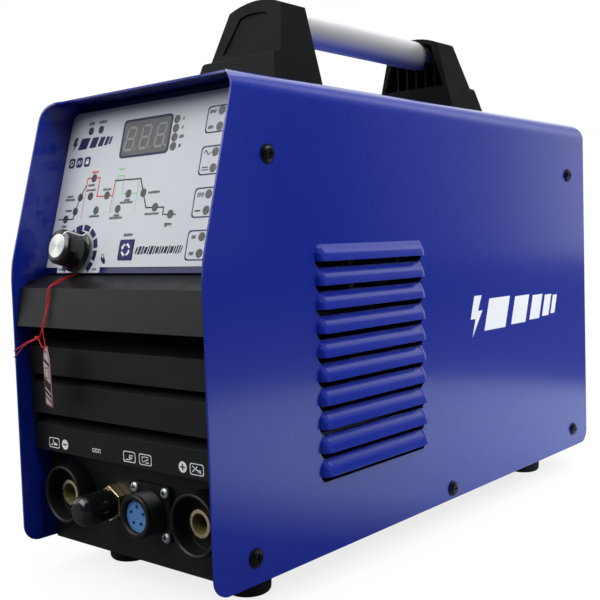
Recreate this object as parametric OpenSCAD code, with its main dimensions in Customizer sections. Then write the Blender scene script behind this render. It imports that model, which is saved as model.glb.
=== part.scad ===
// TIG welding machine: a portable inverter power source in a folded sheet-steel case.
// X runs across the machine, the front faces -Y and +Z is up. The origin is on the floor,
// under the middle of the case. Inside in_case(), y counts from the cover's front edge and
// z from its lower edge. Inside on_panel(), x runs across the sloping control panel, y up it
// and z straight out of it.

/* [Case] */
// Width over the cover
case_w = 160; // [158:0.5:166]
// Length of the cover
case_d = 434; // [430:1:450]
// Height of the cover
case_h = 260; // [258:0.5:266]
// Thickness of the folded sheet steel
sheet = 1.5; // [1.2:0.1:1.6]
// Outside radius of the two long bends along the top
bend_r = 12; // [10:0.5:13]
// Height at which the front edge starts to lean back
kink_z = 162.5; // [160:0.5:164]
// How far the front edge leans back at the top
lean_y = 27; // [26:0.5:28]
// Depth of the front panels behind the cover's front edge
visor = 23.5; // [23:0.1:24]

/* [Louvers] */
// Number of louvers on each side
louver_count = 10; // [4:1:10]
// Height of the lowest louver's lip
louver_z = 43.5; // [40:0.5:46]
// Vertical pitch of the louvers
louver_pitch = 13.15; // [12.5:0.05:13.3]
// Distance of the louvers' front ends from the front edge
louver_y = 84; // [80:1:90]
// Length of a louver
louver_len = 105; // [90:1:110]
// How far a louver stands out
louver_out = 4.5; // [3:0.1:5]

/* [Handle] */
// Middle of the handle, from the front edge
handle_mid = 230.5; // [225:0.5:236]
// Distance from the middle to a post's inner face
post_in = 77; // [75:0.5:79]
// Height of the posts' outer top corners above the cover
post_h = 58.4; // [56:0.2:62]
// Half-width of a post at its top
post_half = 21.6; // [20:0.1:23]
// Widening of a post on each side, per millimetre down
post_flare = 0.25; // [0.2:0.01:0.27]
// Outward lean of a post's outer face, per millimetre down
post_lean = 0.33; // [0.3:0.01:0.35]
// Wall thickness of a post
post_wall = 3.5; // [3:0.1:4]
// Diameter of the carrying tube
tube_d = 21; // [20:0.5:22]

/* [Control panel] */
// Width of the display window
window_w = 41; // [40:0.5:42]
// Height of the display window
window_h = 22.2; // [22:0.1:23]
// Across the control panel to the knob's axis
knob_x = -49; // [-50:0.5:-48]
// Up the control panel to the knob's axis
knob_v = 9; // [8.8:0.1:10]
// Radius of the knob's skirt
knob_r = 12.3; // [11:0.1:12.5]
// Height of the knob's face above the panel
knob_h = 16; // [15:0.5:18]
// Turn of the knob's pointer from straight up, clockwise
pointer_turn = 33; // [0:1:100]

/* [Lower panel] */
// Distance of each welding socket from the middle
socket_x = 54.5; // [54:0.5:55]
// Height of the welding sockets above the cover's lower edge
socket_z = 30.5; // [30:0.5:32]
// Bore of a welding socket's brass contact
socket_bore = 9.4; // [9.2:0.1:9.6]
// Position of the control connector across the panel
conn_x = 12.3; // [12:0.1:12.5]
// Height of the control connector and gas outlet
conn_z = 29; // [28.5:0.5:30]
// Position of the gas outlet across the panel
gas_x = -20.5; // [-21:0.5:-20]

/* [Rear] */
// Depth of the rear panel inside the cover's rear edge
rear_in = 12; // [10:0.5:14]
// Height of the fan's axis
fan_z = 138; // [136:1:142]
// Square size of the fan
fan_w = 120; // [119:0.5:121]

/* [Feet] */
// Height of a rubber foot
foot_h = 16.5; // [14:0.5:20]
// Radius of a foot at its top
foot_r = 13.5; // [13:0.5:15]
// Distance of the feet from the middle
foot_x = 49.5; // [48:0.5:52]
// Distance of the feet from the cover's ends
foot_y = 55; // [53:0.5:60]

/* [Hidden] */
$fn = 64;

tray_drop = 1;                                  // the tray's floor shows this far below the cover
lift = foot_h + tray_drop;
gap = 0.2;                                      // clearance between neighbouring sheets
half_in = case_w / 2 - sheet;                   // inside half-width of the cover
slant = atan(lean_y / (case_h - kink_z));       // lean of the control panel
rear_y = case_d - rear_in;                      // outer face of the rear panel
handle_z = case_h + post_h - 7;                 // axis of the carrying tube
cap_front = -5;                                 // front end of the gas outlet's cap
cable_r = 5;
cable_bend = 22;
gland_out = 24;
cable_back = rear_y + gland_out + 3 + cable_bend + cable_r;
origin_y = (cap_front + cable_back) / 2;        // middle of the whole machine, from the cover's front edge

blue = [0.13, 0.17, 0.55];
black = [0.16, 0.16, 0.17];
dark_grey = [0.24, 0.25, 0.25];
steel = [0.72, 0.73, 0.75];
brass = [0.85, 0.72, 0.42];
copper = [0.78, 0.45, 0.25];
board_green = [0.1, 0.35, 0.2];
overlay_grey = [0.84, 0.85, 0.88];
navy = [0.13, 0.15, 0.38];
rubber = [0.08, 0.08, 0.08];

// ---------- placing ----------

// The origin is on the floor, at the middle of the machine's bounding box
module in_case() { translate([0, -origin_y, lift]) children(); }

module on_panel(x = 0, v = 0, out = 0) {
    in_case() translate([0, visor, kink_z - 0.5]) rotate([90 - slant, 0, 0])
        translate([x, v, out]) children();
}

// A y-z outline drawn out to a width across the machine, centred on x
module across(width, x = 0) {
    translate([x - width / 2, 0, 0]) rotate([90, 0, 90]) linear_extrude(width) children();
}

// An x-z outline drawn out along the machine from y0 to y1
module lengthways(y0, y1) {
    translate([0, y1, 0]) rotate([90, 0, 0]) linear_extrude(y1 - y0) children();
}

// A round bar along y; r_front differs from r for a taper
module bar_y(r, y0, y1, x = 0, z = 0, r_front = -1) {
    translate([x, y1, z]) rotate([90, 0, 0])
        cylinder(r1 = r, r2 = r_front < 0 ? r : r_front, h = y1 - y0);
}

// A round bar across the machine
module bar_x(r, x0, x1, y, z) { translate([x0, y, z]) rotate([0, 90, 0]) cylinder(r = r, h = x1 - x0); }

module box(x, y, z) { translate([x[0], y[0], z[0]]) cube([x[1] - x[0], y[1] - y[0], z[1] - z[0]]); }

module both_sides() {
    children();
    mirror([1, 0, 0]) children();
}

// ---------- outlines ----------

// Points of the arc of radius r that rounds the corner p between its neighbours a and b
function round_corner(a, p, b, r, steps = 8) =
    let (u = (a - p) / norm(a - p), w = (b - p) / norm(b - p))
    let (half = acos(u * w) / 2, mid = (u + w) / norm(u + w))
    let (c = p + mid * r / sin(half), s = p + u * r / tan(half) - c, e = p + w * r / tan(half) - c)
    let (from = atan2(s[1], s[0]), turn = atan2(s[0] * e[1] - s[1] * e[0], s * e))
    [for (i = [0 : steps]) c + r * [cos(from + turn * i / steps), sin(from + turn * i / steps)]];

// The outline through points, each rounded by the radius at the same place in radii
function rounded(points, radii) =
    let (n = len(points))
    [for (i = [0 : n - 1]) each radii[i] == 0 ? [points[i]]
        : round_corner(points[(i + n - 1) % n], points[i], points[(i + 1) % n], radii[i])];

function reversed(points) = [for (i = [len(points) - 1 : -1 : 0]) points[i]];

module plate(x0, x1, y0, y1, r) {
    polygon(rounded([[x0, y0], [x1, y0], [x1, y1], [x0, y1]], is_list(r) ? r : [r, r, r, r]));
}

// Front view of the case, moved in by inset
module case_section(inset) {
    r = bend_r - inset;
    x = case_w / 2 - inset;
    top = case_h - inset;
    polygon(rounded([[-x, -1], [x, -1], [x, top], [-x, top]], [0, 0, r, r]));
}

// Side view of the case
module case_profile() {
    polygon(rounded([[0, 0], [case_d, 0], [case_d, case_h], [lean_y, case_h], [0, kink_z]],
        [10, 10, 10, 7, 60]));
}

// ---------- case ----------

// Solid with a flat lower side that stands out of the side sheet, for the skin (0) or hollow (1)
module louver_body(z, thin) {
    reach = louver_pitch * 0.72;
    r = (reach * reach + louver_out * louver_out) / (2 * louver_out) - thin;
    cx = case_w / 2 + louver_out - r - thin;
    end = sqrt(r * r - (case_w / 2 - cx) * (case_w / 2 - cx));
    intersection() {
        union() {
            bar_y(r, louver_y + reach, louver_y + louver_len - reach, cx, z);
            for (y = [louver_y + reach, louver_y + louver_len - reach])
                translate([cx, y, z]) sphere(r);
        }
        box([case_w / 2 - sheet - thin, case_w / 2 + 10], [louver_y - 5, louver_y + louver_len + 5],
            [z - thin / 5, z + end + 5]);
    }
}

// y and z of the screws on each side
side_screws = [[48.2, 218], [403.2, 218], [29.5, 14], [220.5, 7], [407.5, 14]];
handle_bolt_x = 20;
handle_bolt_out = post_in + 24;

module cover() {
    color(blue) in_case() difference() {
        union() {
            difference() {
                intersection() {
                    lengthways(0, case_d) case_section(0);
                    across(case_w) case_profile();
                }
                lengthways(-1, case_d + 1) case_section(sheet);
            }
            both_sides() for (i = [0 : louver_count - 1]) louver_body(louver_z + i * louver_pitch, 0);
        }
        both_sides() for (i = [0 : louver_count - 1]) louver_body(louver_z + i * louver_pitch, 1.1);
        for (s = side_screws) bar_x(2.2, -case_w, case_w, s[0], s[1]);
        handle_bolt_places() cylinder(r = 3.3, h = 40, center = true);
    }
}

module handle_bolt_places() {
    for (x = [-1, 1], y = [-1, 1])
        translate([x * handle_bolt_x, handle_mid + y * handle_bolt_out, case_h]) children();
}

module foot_places() {
    for (x = [-1, 1], y = [foot_y, case_d - foot_y]) translate([x * foot_x, y, 0]) children();
}

tray_front = visor + 1.3;
tray_flange = 24;

module base_tray() {
    color(blue) in_case() difference() {
        union() {
            box([-half_in + gap, half_in - gap], [tray_front, rear_y - sheet - gap], [-tray_drop, 0.5]);
            both_sides() box([half_in - gap - sheet, half_in - gap],
                [tray_front, rear_y - sheet - gap], [-tray_drop, tray_flange]);
        }
        for (s = side_screws) bar_x(2.2, -case_w, case_w, s[0], s[1]);
        foot_places() cylinder(r = 2.8, h = 10, center = true);
        for (x = [-30 : 15 : 30], y = [95 : 60 : 275]) box([x - 3, x + 3], [y, y + 40], [-3, 3]);
    }
}

shelf_z = 128;
shelf_y = [75, 366];

module inner_chassis() {
    color(steel) in_case() difference() {
        union() {
            box([-73, 73], shelf_y, [shelf_z, shelf_z + sheet]);
            for (y = [shelf_y[0], shelf_y[1] - sheet]) box([-73, 73], [y, y + sheet], [0.5, shelf_z + 0.5]);
        }
        box([-70, 70], [shelf_y[0] - 5, shelf_y[1] + 5], [5, shelf_z - 12]);
        for (x = [-50, 50]) box([x - 12, x + 12], [100, 160], [shelf_z - 5, shelf_z + 5]);
    }
}

// ---------- rear ----------

switch_x = -42;
switch_z = 228;
gland_x = 45;
inlet_x = -45;
low_z = 34;
fan_pitch = fan_w * 105 / 120 / 2;

module fan_corners() {
    for (x = [-1, 1], z = [-1, 1]) translate([x * fan_pitch, 0, fan_z + z * fan_pitch]) children();
}

module rear_panel() {
    color(blue) in_case() difference() {
        union() {
            lengthways(rear_y - sheet, rear_y)
                plate(-half_in + gap, half_in - gap, 0.7, case_h - sheet - gap, [0, 0, bend_r, bend_r]);
            both_sides() box([half_in - gap - sheet, half_in - gap], [rear_y - 30, rear_y - 0.1], [206, 230]);
        }
        bar_x(2.2, -case_w, case_w, side_screws[1][0], side_screws[1][1]);
        bar_y(fan_w / 2 - 3, rear_y - 5, rear_y + 5, 0, fan_z);
        fan_corners() bar_y(2.2, rear_y - 5, rear_y + 5);
        box([switch_x - 11.2, switch_x + 11.2], [rear_y - 5, rear_y + 5], [switch_z - 15.2, switch_z + 15.2]);
        bar_y(10.2, rear_y - 5, rear_y + 5, gland_x, low_z);
        bar_y(6.8, rear_y - 5, rear_y + 5, inlet_x, low_z);
        bar_y(4.2, rear_y - 5, rear_y + 5, 0, low_z);
    }
}

pin_r = 1.5;

module power_switch() {
    color(black) in_case() translate([switch_x, rear_y, switch_z]) difference() {
        union() {
            lengthways(0, 2) plate(-13, 13, -17, 17, 1.5);
            box([-11, 11], [-22, 0.5], [-15, 15]);
            for (z = [-8, 0, 8]) box([-3, 3], [-30, -21], [z - 0.4, z + 0.4]);
        }
        box([-8.7, 8.7], [-15, 5], [-12.4, 12.4]);
        bar_x(pin_r + 0.06, -10, 10, -4, 0);
    }
}

rocker_tilt = 10;

module power_rocker() {
    color([0.5, 0.08, 0.08]) in_case() translate([switch_x, rear_y - 4, switch_z])
        rotate([-rocker_tilt, 0, 0]) {
            across(16.8)
                polygon([[-5, -7], [6.5, -10.5], [5.8, -5], [5.5, 0], [5.8, 5], [6.5, 10.5], [-5, 7]]);
            bar_x(pin_r, -9.8, 9.8, 0, 0);
        }
}

module hex_y(across_flats, y0, y1) {
    translate([0, y1, 0]) rotate([90, 0, 0]) rotate(30) cylinder(d = across_flats / cos(30), h = y1 - y0, $fn = 6);
}

module cable_gland() {
    color(black) in_case() translate([gland_x, rear_y, low_z]) difference() {
        union() {
            bar_y(9.8, -12, 1);
            hex_y(24, 0, 6);
            bar_y(11.2, 5, 15);
            bar_y(8, 14, gland_out, r_front = 11.2);
            hex_y(24, -7, -sheet);
        }
        bar_y(cable_r + 0.1, -20, 40);
    }
}

// Lead: straight out of the gland, down in one bend, and cut off just above the floor
module mains_cable() {
    color(rubber) in_case() translate([gland_x, rear_y, low_z]) {
        bar_y(cable_r, -30, gland_out + 3);
        translate([0, gland_out + 3, -cable_bend]) rotate([90, 0, 90]) rotate_extrude(angle = 90)
            translate([cable_bend, 0]) circle(cable_r);
        translate([0, gland_out + 3 + cable_bend, -cable_bend - 22]) cylinder(r = cable_r, h = 22);
    }
}

module gas_inlet() {
    color(brass) in_case() translate([inlet_x, rear_y, low_z]) difference() {
        union() {
            bar_y(6.6, -14, 0.5);
            hex_y(17, 0, 6);
            bar_y(4, 5, 24);
            bar_y(3.2, 24, 27, r_front = 4);
            hex_y(17, -6, -sheet);
        }
        bar_y(2.4, -20, 30);
    }
}

module earth_stud() {
    color(steel) in_case() translate([0, rear_y, low_z]) {
        bar_y(4, -12, 24);
        hex_y(13, -8, -sheet);
        bar_y(8, 0, 1.6);
        hex_y(13, 1.6, 8);
    }
}

fan_y = [rear_y - sheet - 25.2, rear_y - sheet - 0.2];

module fan_frame() {
    color(black) in_case() difference() {
        union() {
            difference() {
                lengthways(fan_y[0], fan_y[1])
                    plate(-fan_w / 2, fan_w / 2, fan_z - fan_w / 2, fan_z + fan_w / 2, 6);
                bar_y(fan_w / 2 - 2.5, fan_y[0] - 1, fan_y[1] + 1, 0, fan_z);
            }
            bar_y(20, fan_y[0], fan_y[0] + 2, 0, fan_z);
            bar_y(4, fan_y[0], fan_y[0] + 10, 0, fan_z);
            for (a = [45 : 90 : 315]) translate([0, 0, fan_z]) rotate([0, a, 0])
                box([19, fan_w / 2 - 1], [fan_y[0], fan_y[0] + 2], [-2.5, 2.5]);
        }
        bar_y(1.55, fan_y[0] - 1, fan_y[0] + 12, 0, fan_z);
        fan_corners() bar_y(2.2, fan_y[0] - 1, fan_y[1] + 1);
    }
}

module fan_rotor() {
    hub = [fan_y[0] + 2.6, fan_y[1] - 2];
    color(black) in_case() translate([0, 0, fan_z]) {
        bar_y(1.5, fan_y[0] + 1, hub[1] - 2);
        difference() {
            bar_y(19, hub[0], hub[1]);
            bar_y(17, hub[0] - 1, hub[1] - 2);
        }
        for (a = [0 : 360 / 7 : 359]) rotate([0, a, 0])
            translate([0, (hub[0] + hub[1]) / 2, 0]) rotate([35, 0, 0])
                box([18, fan_w / 2 - 5], [-0.8, 0.8], [-11, 11]);
    }
}

guard_wire = 0.9;

// A flat ring around the y axis, for one hoop of the finger guard
module hoop(r) {
    difference() {
        bar_y(r + guard_wire, 0, 2 * guard_wire);
        bar_y(r - guard_wire, -1, 2 * guard_wire + 1);
    }
}

module fan_guard() {
    corner = fan_pitch * sqrt(2);
    color(steel) in_case() translate([0, rear_y, fan_z]) {
        for (r = [14 : 8 : 54]) hoop(r);
        for (a = [45 : 90 : 315]) rotate([0, a, 0]) {
            box([13, corner - 3], [0.4, 2 * guard_wire - 0.4], [-guard_wire, guard_wire]);
            translate([corner, 0, 0]) hoop(3.4);
        }
    }
}

// A pan head screw along y with its head's underside at y = 0 and its shank running to y = -len
module pan_screw(head, shank, len) {
    difference() {
        union() {
            bar_y(head, 0, head * 0.3);
            bar_y(head * 0.7, head * 0.3, head * 0.6, r_front = head);
            bar_y(shank, -len, 0.1);
        }
        for (a = [0, 90]) rotate([0, a, 0])
            box([-head * 0.6, head * 0.6], [head * 0.3, head], [-head * 0.1, head * 0.1]);
    }
}

module fan_screws() {
    color(steel) in_case() fan_corners() translate([0, rear_y + 2 * guard_wire, 0]) pan_screw(4.2, 2, 26);
}

// ---------- front ----------

panel_back = visor + 1;
slat_wall = 2.5;

// One slat: y and z of the top and bottom of its front face
slats = [[[9.5, 95], [9, 77.5]], [[9.5, 116.5], [9, 100.5]]];

// Points of a slat's rear flange, which rises behind the next slat so that air passes but sight doesn't
function flange(top) = [top + [8, 4], top + [15, 13], top + [15, 9], top + [8.8, 1.3], top + [slat_wall, -1]];

module slat_outline(top, bottom) {
    polygon(concat([bottom, top], flange(top), [bottom + [slat_wall, 0]]));
}

module front_bezel() {
    width = 2 * (half_in - gap);
    color(black) in_case() difference() {
        union() {
            across(width) polygon(concat([[panel_back - slat_wall, -tray_drop], [panel_back, -tray_drop],
                [panel_back, 58], [10 + slat_wall, 58]], reversed(flange([10, 70.5])),
                [[10, 70.5], [10, 55.5], [panel_back - slat_wall, 55.5]]));
            for (s = slats) across(width) slat_outline(s[0], s[1]);
            across(width) polygon([[1, 129], [5, 151], [22.5, 157.5], [panel_back, 157.5],
                [panel_back, 154.5], [7.5, 148.5], [3.5, 129]]);
            both_sides() box([half_in - gap - slat_wall, half_in - gap], [9.8, panel_back], [55.5, 155]);
        }
        for (x = [-socket_x, socket_x]) bar_y(13.2, 0, 40, x, socket_z);
        bar_y(10.6, 0, 40, conn_x, conn_z);
        for (x = [-1, 1], z = [-1, 1]) bar_y(1.7, 0, 40, conn_x + x * conn_pitch, conn_z + z * conn_pitch);
        bar_y(6.2, 0, 40, gas_x, conn_z);
    }
}

// Welding socket shell: collar in front of the panel, threaded barrel through it
module socket_body(x) {
    color(black) in_case() translate([x, 0, socket_z]) difference() {
        union() {
            bar_y(16.8, 10.6, 22);
            bar_y(16.8, 10, 10.6, r_front = 16.3);
            bar_y(13, 21, 42);
        }
        bar_y(14.6, 5, 20);
        bar_y(14.5, 9, 11, r_front = 16.3);
        bar_y(7.7, 19, 50);
    }
}

module socket_contact(x) {
    color(brass) in_case() translate([x, 0, socket_z]) difference() {
        union() {
            bar_y(7.6, 15.5, 46);
            bar_y(4, 45, 58);
        }
        bar_y(socket_bore / 2, 10, 38);
        box([-1.3, 1.3], [10, 38], [0, socket_bore / 2 + 1.2]);
    }
}

module negative_socket_body() { socket_body(-socket_x); }
module negative_socket_contact() { socket_contact(-socket_x); }
module positive_socket_body() { socket_body(socket_x); }
module positive_socket_contact() { socket_contact(socket_x); }

module socket_nuts() {
    color(black) in_case() for (x = [-socket_x, socket_x]) translate([x, 0, socket_z]) difference() {
        hex_y(31, panel_back, panel_back + 6);
        bar_y(13.05, panel_back - 1, panel_back + 7);
    }
}

module gas_outlet() {
    color(brass) in_case() translate([gas_x, 0, conn_z]) difference() {
        union() {
            hex_y(17.8, 17, 22);
            bar_y(6, 20, 34);
            bar_y(5.4, 3, 18);
            hex_y(17, panel_back, panel_back + 4);
            bar_y(4, 33, 46);
        }
        bar_y(2.4, 0, 50);
    }
}

// Rounded rubber cap that pulls off the outlet
module gas_cap() {
    round_r = 5;
    len = 16.8 - cap_front;
    color(rubber) in_case() translate([gas_x, 16.8, conn_z]) rotate([90, 0, 0]) difference() {
        rotate_extrude() polygon(concat([[0, 0], [8.5, 0]],
            round_corner([8.5, 0], [8.5, len], [0, len], round_r), [[0, len]]));
        translate([0, 0, -1]) cylinder(r = 5.6, h = 15.5);
    }
}

conn_pitch = 12.15;

module connector_shell() {
    color(black) in_case() translate([conn_x, 0, conn_z]) difference() {
        union() {
            lengthways(19.5, 22) plate(-15.5, 15.5, -15.5, 15.5, 2.5);
            bar_y(12, 7.4, 20);
            bar_y(10.4, 21, 34);
        }
        bar_y(8.8, 5, 40);
        for (x = [-1, 1], z = [-1, 1]) bar_y(1.7, 0, 40, x * conn_pitch, z * conn_pitch);
    }
}

module connector_insert() {
    color([0.35, 0.58, 0.8]) in_case() translate([conn_x, 0, conn_z]) difference() {
        bar_y(8.7, 9.8, 33);
        for (a = [0 : 72 : 359]) rotate([0, a, 0]) bar_y(1.1, 8, 22, 0, 5);
        box([-1, 1], [8, 16], [7.6, 10]);
    }
}

module connector_screws() {
    color(steel) in_case() for (x = [-1, 1], z = [-1, 1])
        translate([conn_x + x * conn_pitch, 19.5, conn_z + z * conn_pitch])
            rotate([0, 0, 180]) pan_screw(2.8, 1.5, 9);
}

module output_leads() {
    color(copper) in_case() for (x = [-socket_x, socket_x]) translate([x, 0, socket_z]) difference() {
        union() {
            bar_y(9, 46.1, 49);
            box([-8, 8], [46.1, 49], [0, 34]);
            box([-8, 8], [46.1, 84], [31, 34]);
        }
        bar_y(4.2, 40, 60);
    }
}

// ---------- control panel ----------

overlay_t = 0.4;
plate_t = 1.5;
overlay_h = 96;
key_gap = 0.25;
window_at = [-6.8, 75.3];
menu_at = [-7, 9.7];
menu_size = [11.8, 11.4];
mode_at = [for (i = [0 : 3]) [66, 11.2 + i * 22.8]];
mode_size = [10, 8];
led_r = 2.4;
status_leds = [[-58.2, 83.6], [-48.8, 83.6]];
unit_leds = [for (i = [0 : 3]) [17.5, 67.2 + i * 5.2]];
mode_leds = [for (p = mode_at, d = [-4.4, 4.4]) [51.6, p[1] + d]];
cycle_leds = [[-67.9, 29.4], [-59.8, 34], [-57.2, 42.4], [-47.7, 42.6], [-47.2, 53.6], [-40.1, 33.7],
    [-32.5, 42.3], [-20.6, 33.7], [-13.4, 42.3], [-0.6, 42.1], [11.2, 33.3], [24.5, 28.8]];
leds = concat(status_leds, unit_leds, mode_leds, cycle_leds);

module key_holes(grow) {
    translate(menu_at) square(menu_size + [2 * grow, 2 * grow], center = true);
    for (p = mode_at) translate(p) square(mode_size + [2 * grow, 2 * grow], center = true);
}

module overlay_outline(inset) {
    x = half_in - gap - inset;
    polygon(rounded([[-x, inset], [x, inset], [x, overlay_h], [-x, overlay_h]], [0, 0, 6, 6]));
}

module panel_overlay() {
    color(overlay_grey) on_panel(out = -overlay_t) linear_extrude(overlay_t) difference() {
        union() {
            overlay_outline(0);
            translate([-67, -3.2]) square([39.4, 4]);
        }
        key_holes(key_gap);
        translate([knob_x, knob_v]) circle(3.8);
        for (p = leds) translate(p) circle(led_r + 0.1);
    }
}

module control_panel_plate() {
    x = half_in - gap;
    color(blue) {
        on_panel(out = -overlay_t - plate_t) linear_extrude(plate_t) difference() {
            polygon(rounded([[-x, -3.4], [x, -3.4], [x, 99.5], [-x, 99.5]], [0, 0, bend_r + 2, bend_r + 2]));
            key_holes(key_gap);
            translate([knob_x, knob_v]) circle(3.8);
            translate(window_at) square([window_w, window_h], center = true);
            for (p = leds) translate(p) circle(led_r + 0.1);
        }
        difference() {
            both_sides() on_panel(x - sheet, 50, -16) cube([sheet, 21, 15]);
            in_case() bar_x(2.2, -case_w, case_w, side_screws[0][0], side_screws[0][1]);
        }
    }
}

board_out = -12;

module display_module() {
    color(black) on_panel(window_at[0], window_at[1], board_out + 1.6)
        translate([-37.6 / 2, -9.5, 0]) cube([37.6, 19, 8]);
}

module indicator_leds() {
    color([0.45, 0.46, 0.48]) for (p = leds) on_panel(p[0], p[1], board_out + 1.6) {
        cylinder(r = led_r - 0.3, h = 5);
        translate([0, 0, 4.5]) cylinder(r = led_r + 0.15, h = 0.9);
        translate([0, 0, 5]) cylinder(r = led_r, h = 5.5);
    }
}

// Circuit board with a push switch behind each key
module panel_pcb() {
    color(board_green) difference() {
        union() {
            on_panel(0, 0, board_out) translate([-70.5, 1.5, 0]) cube([141, 90, 1.6]);
            for (p = concat([menu_at], mode_at)) on_panel(p[0], p[1], board_out + 1.5)
                translate([-3, -3, 0]) cube([6, 6, 2.4]);
            for (x = [-67.5, 67.5], v = [3.4, 88]) on_panel(x, v, board_out + 1.5)
                cylinder(r = 1.6, h = -board_out - 1.5 - overlay_t - plate_t);
        }
        on_panel(knob_x, knob_v, board_out - 1) cylinder(r = 9, h = 5);
    }
}

// Key cap with a rim behind the plate and a stem that reaches the switch
module key(at, size) {
    on_panel(at[0], at[1], 0) {
        translate([0, 0, -3.2]) linear_extrude(3.7)
            plate(-size[0] / 2, size[0] / 2, -size[1] / 2, size[1] / 2, 1.2);
        translate([0, 0, -3.2]) linear_extrude(1)
            plate(-size[0] / 2 - 1, size[0] / 2 + 1, -size[1] / 2 - 1, size[1] / 2 + 1, 1);
        translate([0, 0, -7.2]) cylinder(r = 1.5, h = 5);
    }
}

module menu_key() { color(navy) key(menu_at, menu_size); }
module trigger_key() { color(navy) key(mode_at[0], mode_size); }
module pulse_key() { color(navy) key(mode_at[1], mode_size); }
module current_key() { color(navy) key(mode_at[2], mode_size); }
module process_key() { color(navy) key(mode_at[3], mode_size); }

module potentiometer() {
    color(steel) on_panel(knob_x, knob_v) difference() {
        union() {
            translate([0, 0, -12]) cylinder(r = 8.4, h = 12 - overlay_t - plate_t);
            translate([0, 0, -3]) cylinder(r = 3.5, h = 6.5);
        }
        translate([0, 0, -10]) cylinder(r = 3.05, h = 20);
    }
}

module knob_nut() {
    color(steel) on_panel(knob_x, knob_v) difference() {
        cylinder(d = 11, h = 1.8, $fn = 6);
        translate([0, 0, -1]) cylinder(r = 3.55, h = 4);
    }
}

module knob_shaft() { color(steel) on_panel(knob_x, knob_v, -9) cylinder(r = 3, h = 21); }

knob_foot = 1.9;

module control_knob() {
    barrel_r = knob_r - 2;
    face_r = 7.6;
    color(black) on_panel(knob_x, knob_v) rotate(-pointer_turn) difference() {
        rotate_extrude() polygon([[0, knob_foot], [knob_r, knob_foot], [knob_r, knob_foot + 0.5],
            [knob_r - 1.1, knob_foot + 1.3], [barrel_r + 0.1, knob_foot + 2.2], [barrel_r, knob_h - 2.1],
            [barrel_r - 0.7, knob_h - 0.8], [face_r, knob_h - 0.1], [face_r - 0.3, knob_h - 0.1],
            [face_r - 0.3, knob_h - 1.2], [0, knob_h - 1.2]]);
        cylinder(r = 8, h = knob_foot + 2.2);
        cylinder(r = 3.03, h = 12.5);
        // pointer line
        translate([-0.5, barrel_r - 0.4, knob_foot + 2.6]) cube([1, 3, knob_h]);
    }
}

module knob_cap() { color(steel) on_panel(knob_x, knob_v, knob_h - 1.2) cylinder(r = 7.1, h = 1.2); }

// ---------- handle and feet ----------

function post_half_at(z) = post_half + post_flare * (case_h + post_h - z);
function post_out_at(z) = post_in + 23.2 + post_lean * (case_h + post_h - z);

crown_r = 51;

// Front view of a post, moved in by inset
module post_front(inset, z0) {
    edge = asin(post_half / crown_r);
    r = crown_r - inset;
    side = post_half_at(z0) - inset;
    crown = [for (a = [edge : -edge / 5 : -edge]) [r * sin(a), case_h + post_h + r * cos(a)
        - (crown_r * cos(edge))]];
    trimmed = [for (p = crown) if (abs(p[0]) < post_half - inset + 0.01) p];
    polygon(concat([[-side, z0], [side, z0]], trimmed));
}

step_z = 286;
step_out = 7;

// Side view of the rear post; y is counted from the handle's middle
module post_side(inset, z0) {
    top = case_h + post_h + 10;
    first = z0 < step_z
        ? [[post_out_at(z0) + step_out - 2 - inset, z0], [post_out_at(step_z) + step_out - inset, step_z - 1.5],
            [post_out_at(step_z) + step_out - 1.5 - inset, step_z], [post_out_at(step_z) - inset, step_z]]
        : [[post_out_at(z0) - inset, z0]];
    polygon(concat([[post_in, z0]], first, [[post_out_at(top) - inset, top], [post_in, top]]));
}

module post() {
    floor_z = step_z;
    difference() {
        intersection() {
            lengthways(post_in, post_in + 60) post_front(0, case_h);
            across(100) post_side(0, case_h);
        }
        difference() {
            intersection() {
                lengthways(post_in - 1, post_in + 60) post_front(post_wall, floor_z);
                across(100) translate([-1, 0]) post_side(post_wall - 1, floor_z);
            }
            for (x = [-16.6 : 8.3 : 16.6])
                box([x - 0.7, x + 0.7], [post_in + 4, post_in + 60], [floor_z - 5, case_h + post_h + 10]);
            bar_y(tube_d / 2 + 2.5, post_in + 10, post_in + 60, 0, handle_z);
        }
        bar_y(tube_d / 2 + 0.1, post_in - 5, tube_half, 0, handle_z);
        for (x = [-1, 1]) translate([x * handle_bolt_x, handle_bolt_out, case_h - 1])
            cylinder(r = 3.05, h = 21);
        // shallow inset in the outer face
        intersection() {
            lengthways(post_in, post_in + 60) post_front(8, floor_z + 5);
            difference() {
                across(100) post_side(-5, floor_z + 5);
                across(110) post_side(1.2, floor_z);
            }
        }
    }
}

tube_half = post_in + 21;

module handle_post_rear() { color(dark_grey) in_case() translate([0, handle_mid, 0]) post(); }
module handle_post_front() {
    color(dark_grey) in_case() translate([0, handle_mid, 0]) mirror([0, 1, 0]) post();
}

module handle_tube() {
    color(steel) in_case() difference() {
        bar_y(tube_d / 2, handle_mid - tube_half, handle_mid + tube_half, 0, handle_z);
        bar_y(tube_d / 2 - 1.5, handle_mid - tube_half - 1, handle_mid + tube_half + 1, 0, handle_z);
    }
}

module handle_bolts() {
    color(steel) in_case() handle_bolt_places() {
        translate([0, 0, -sheet - 1.5]) cylinder(r = 8, h = 1.5);
        translate([0, 0, -sheet - 6]) cylinder(d = 11.5, h = 4.6, $fn = 6);
        translate([0, 0, -sheet - 3]) cylinder(r = 3, h = 20);
    }
}

module rubber_feet() {
    round_r = 3;
    color(rubber) in_case() foot_places() translate([0, 0, -lift]) difference() {
        rotate_extrude() polygon(concat([[0, 0]],
            round_corner([0, 0], [foot_r - 1, 0], [foot_r, foot_h], round_r), [[foot_r, foot_h], [0, foot_h]]));
        translate([0, 0, -1]) cylinder(r = 6, h = 9);
        cylinder(r = 2.8, h = 40);
    }
}

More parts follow.
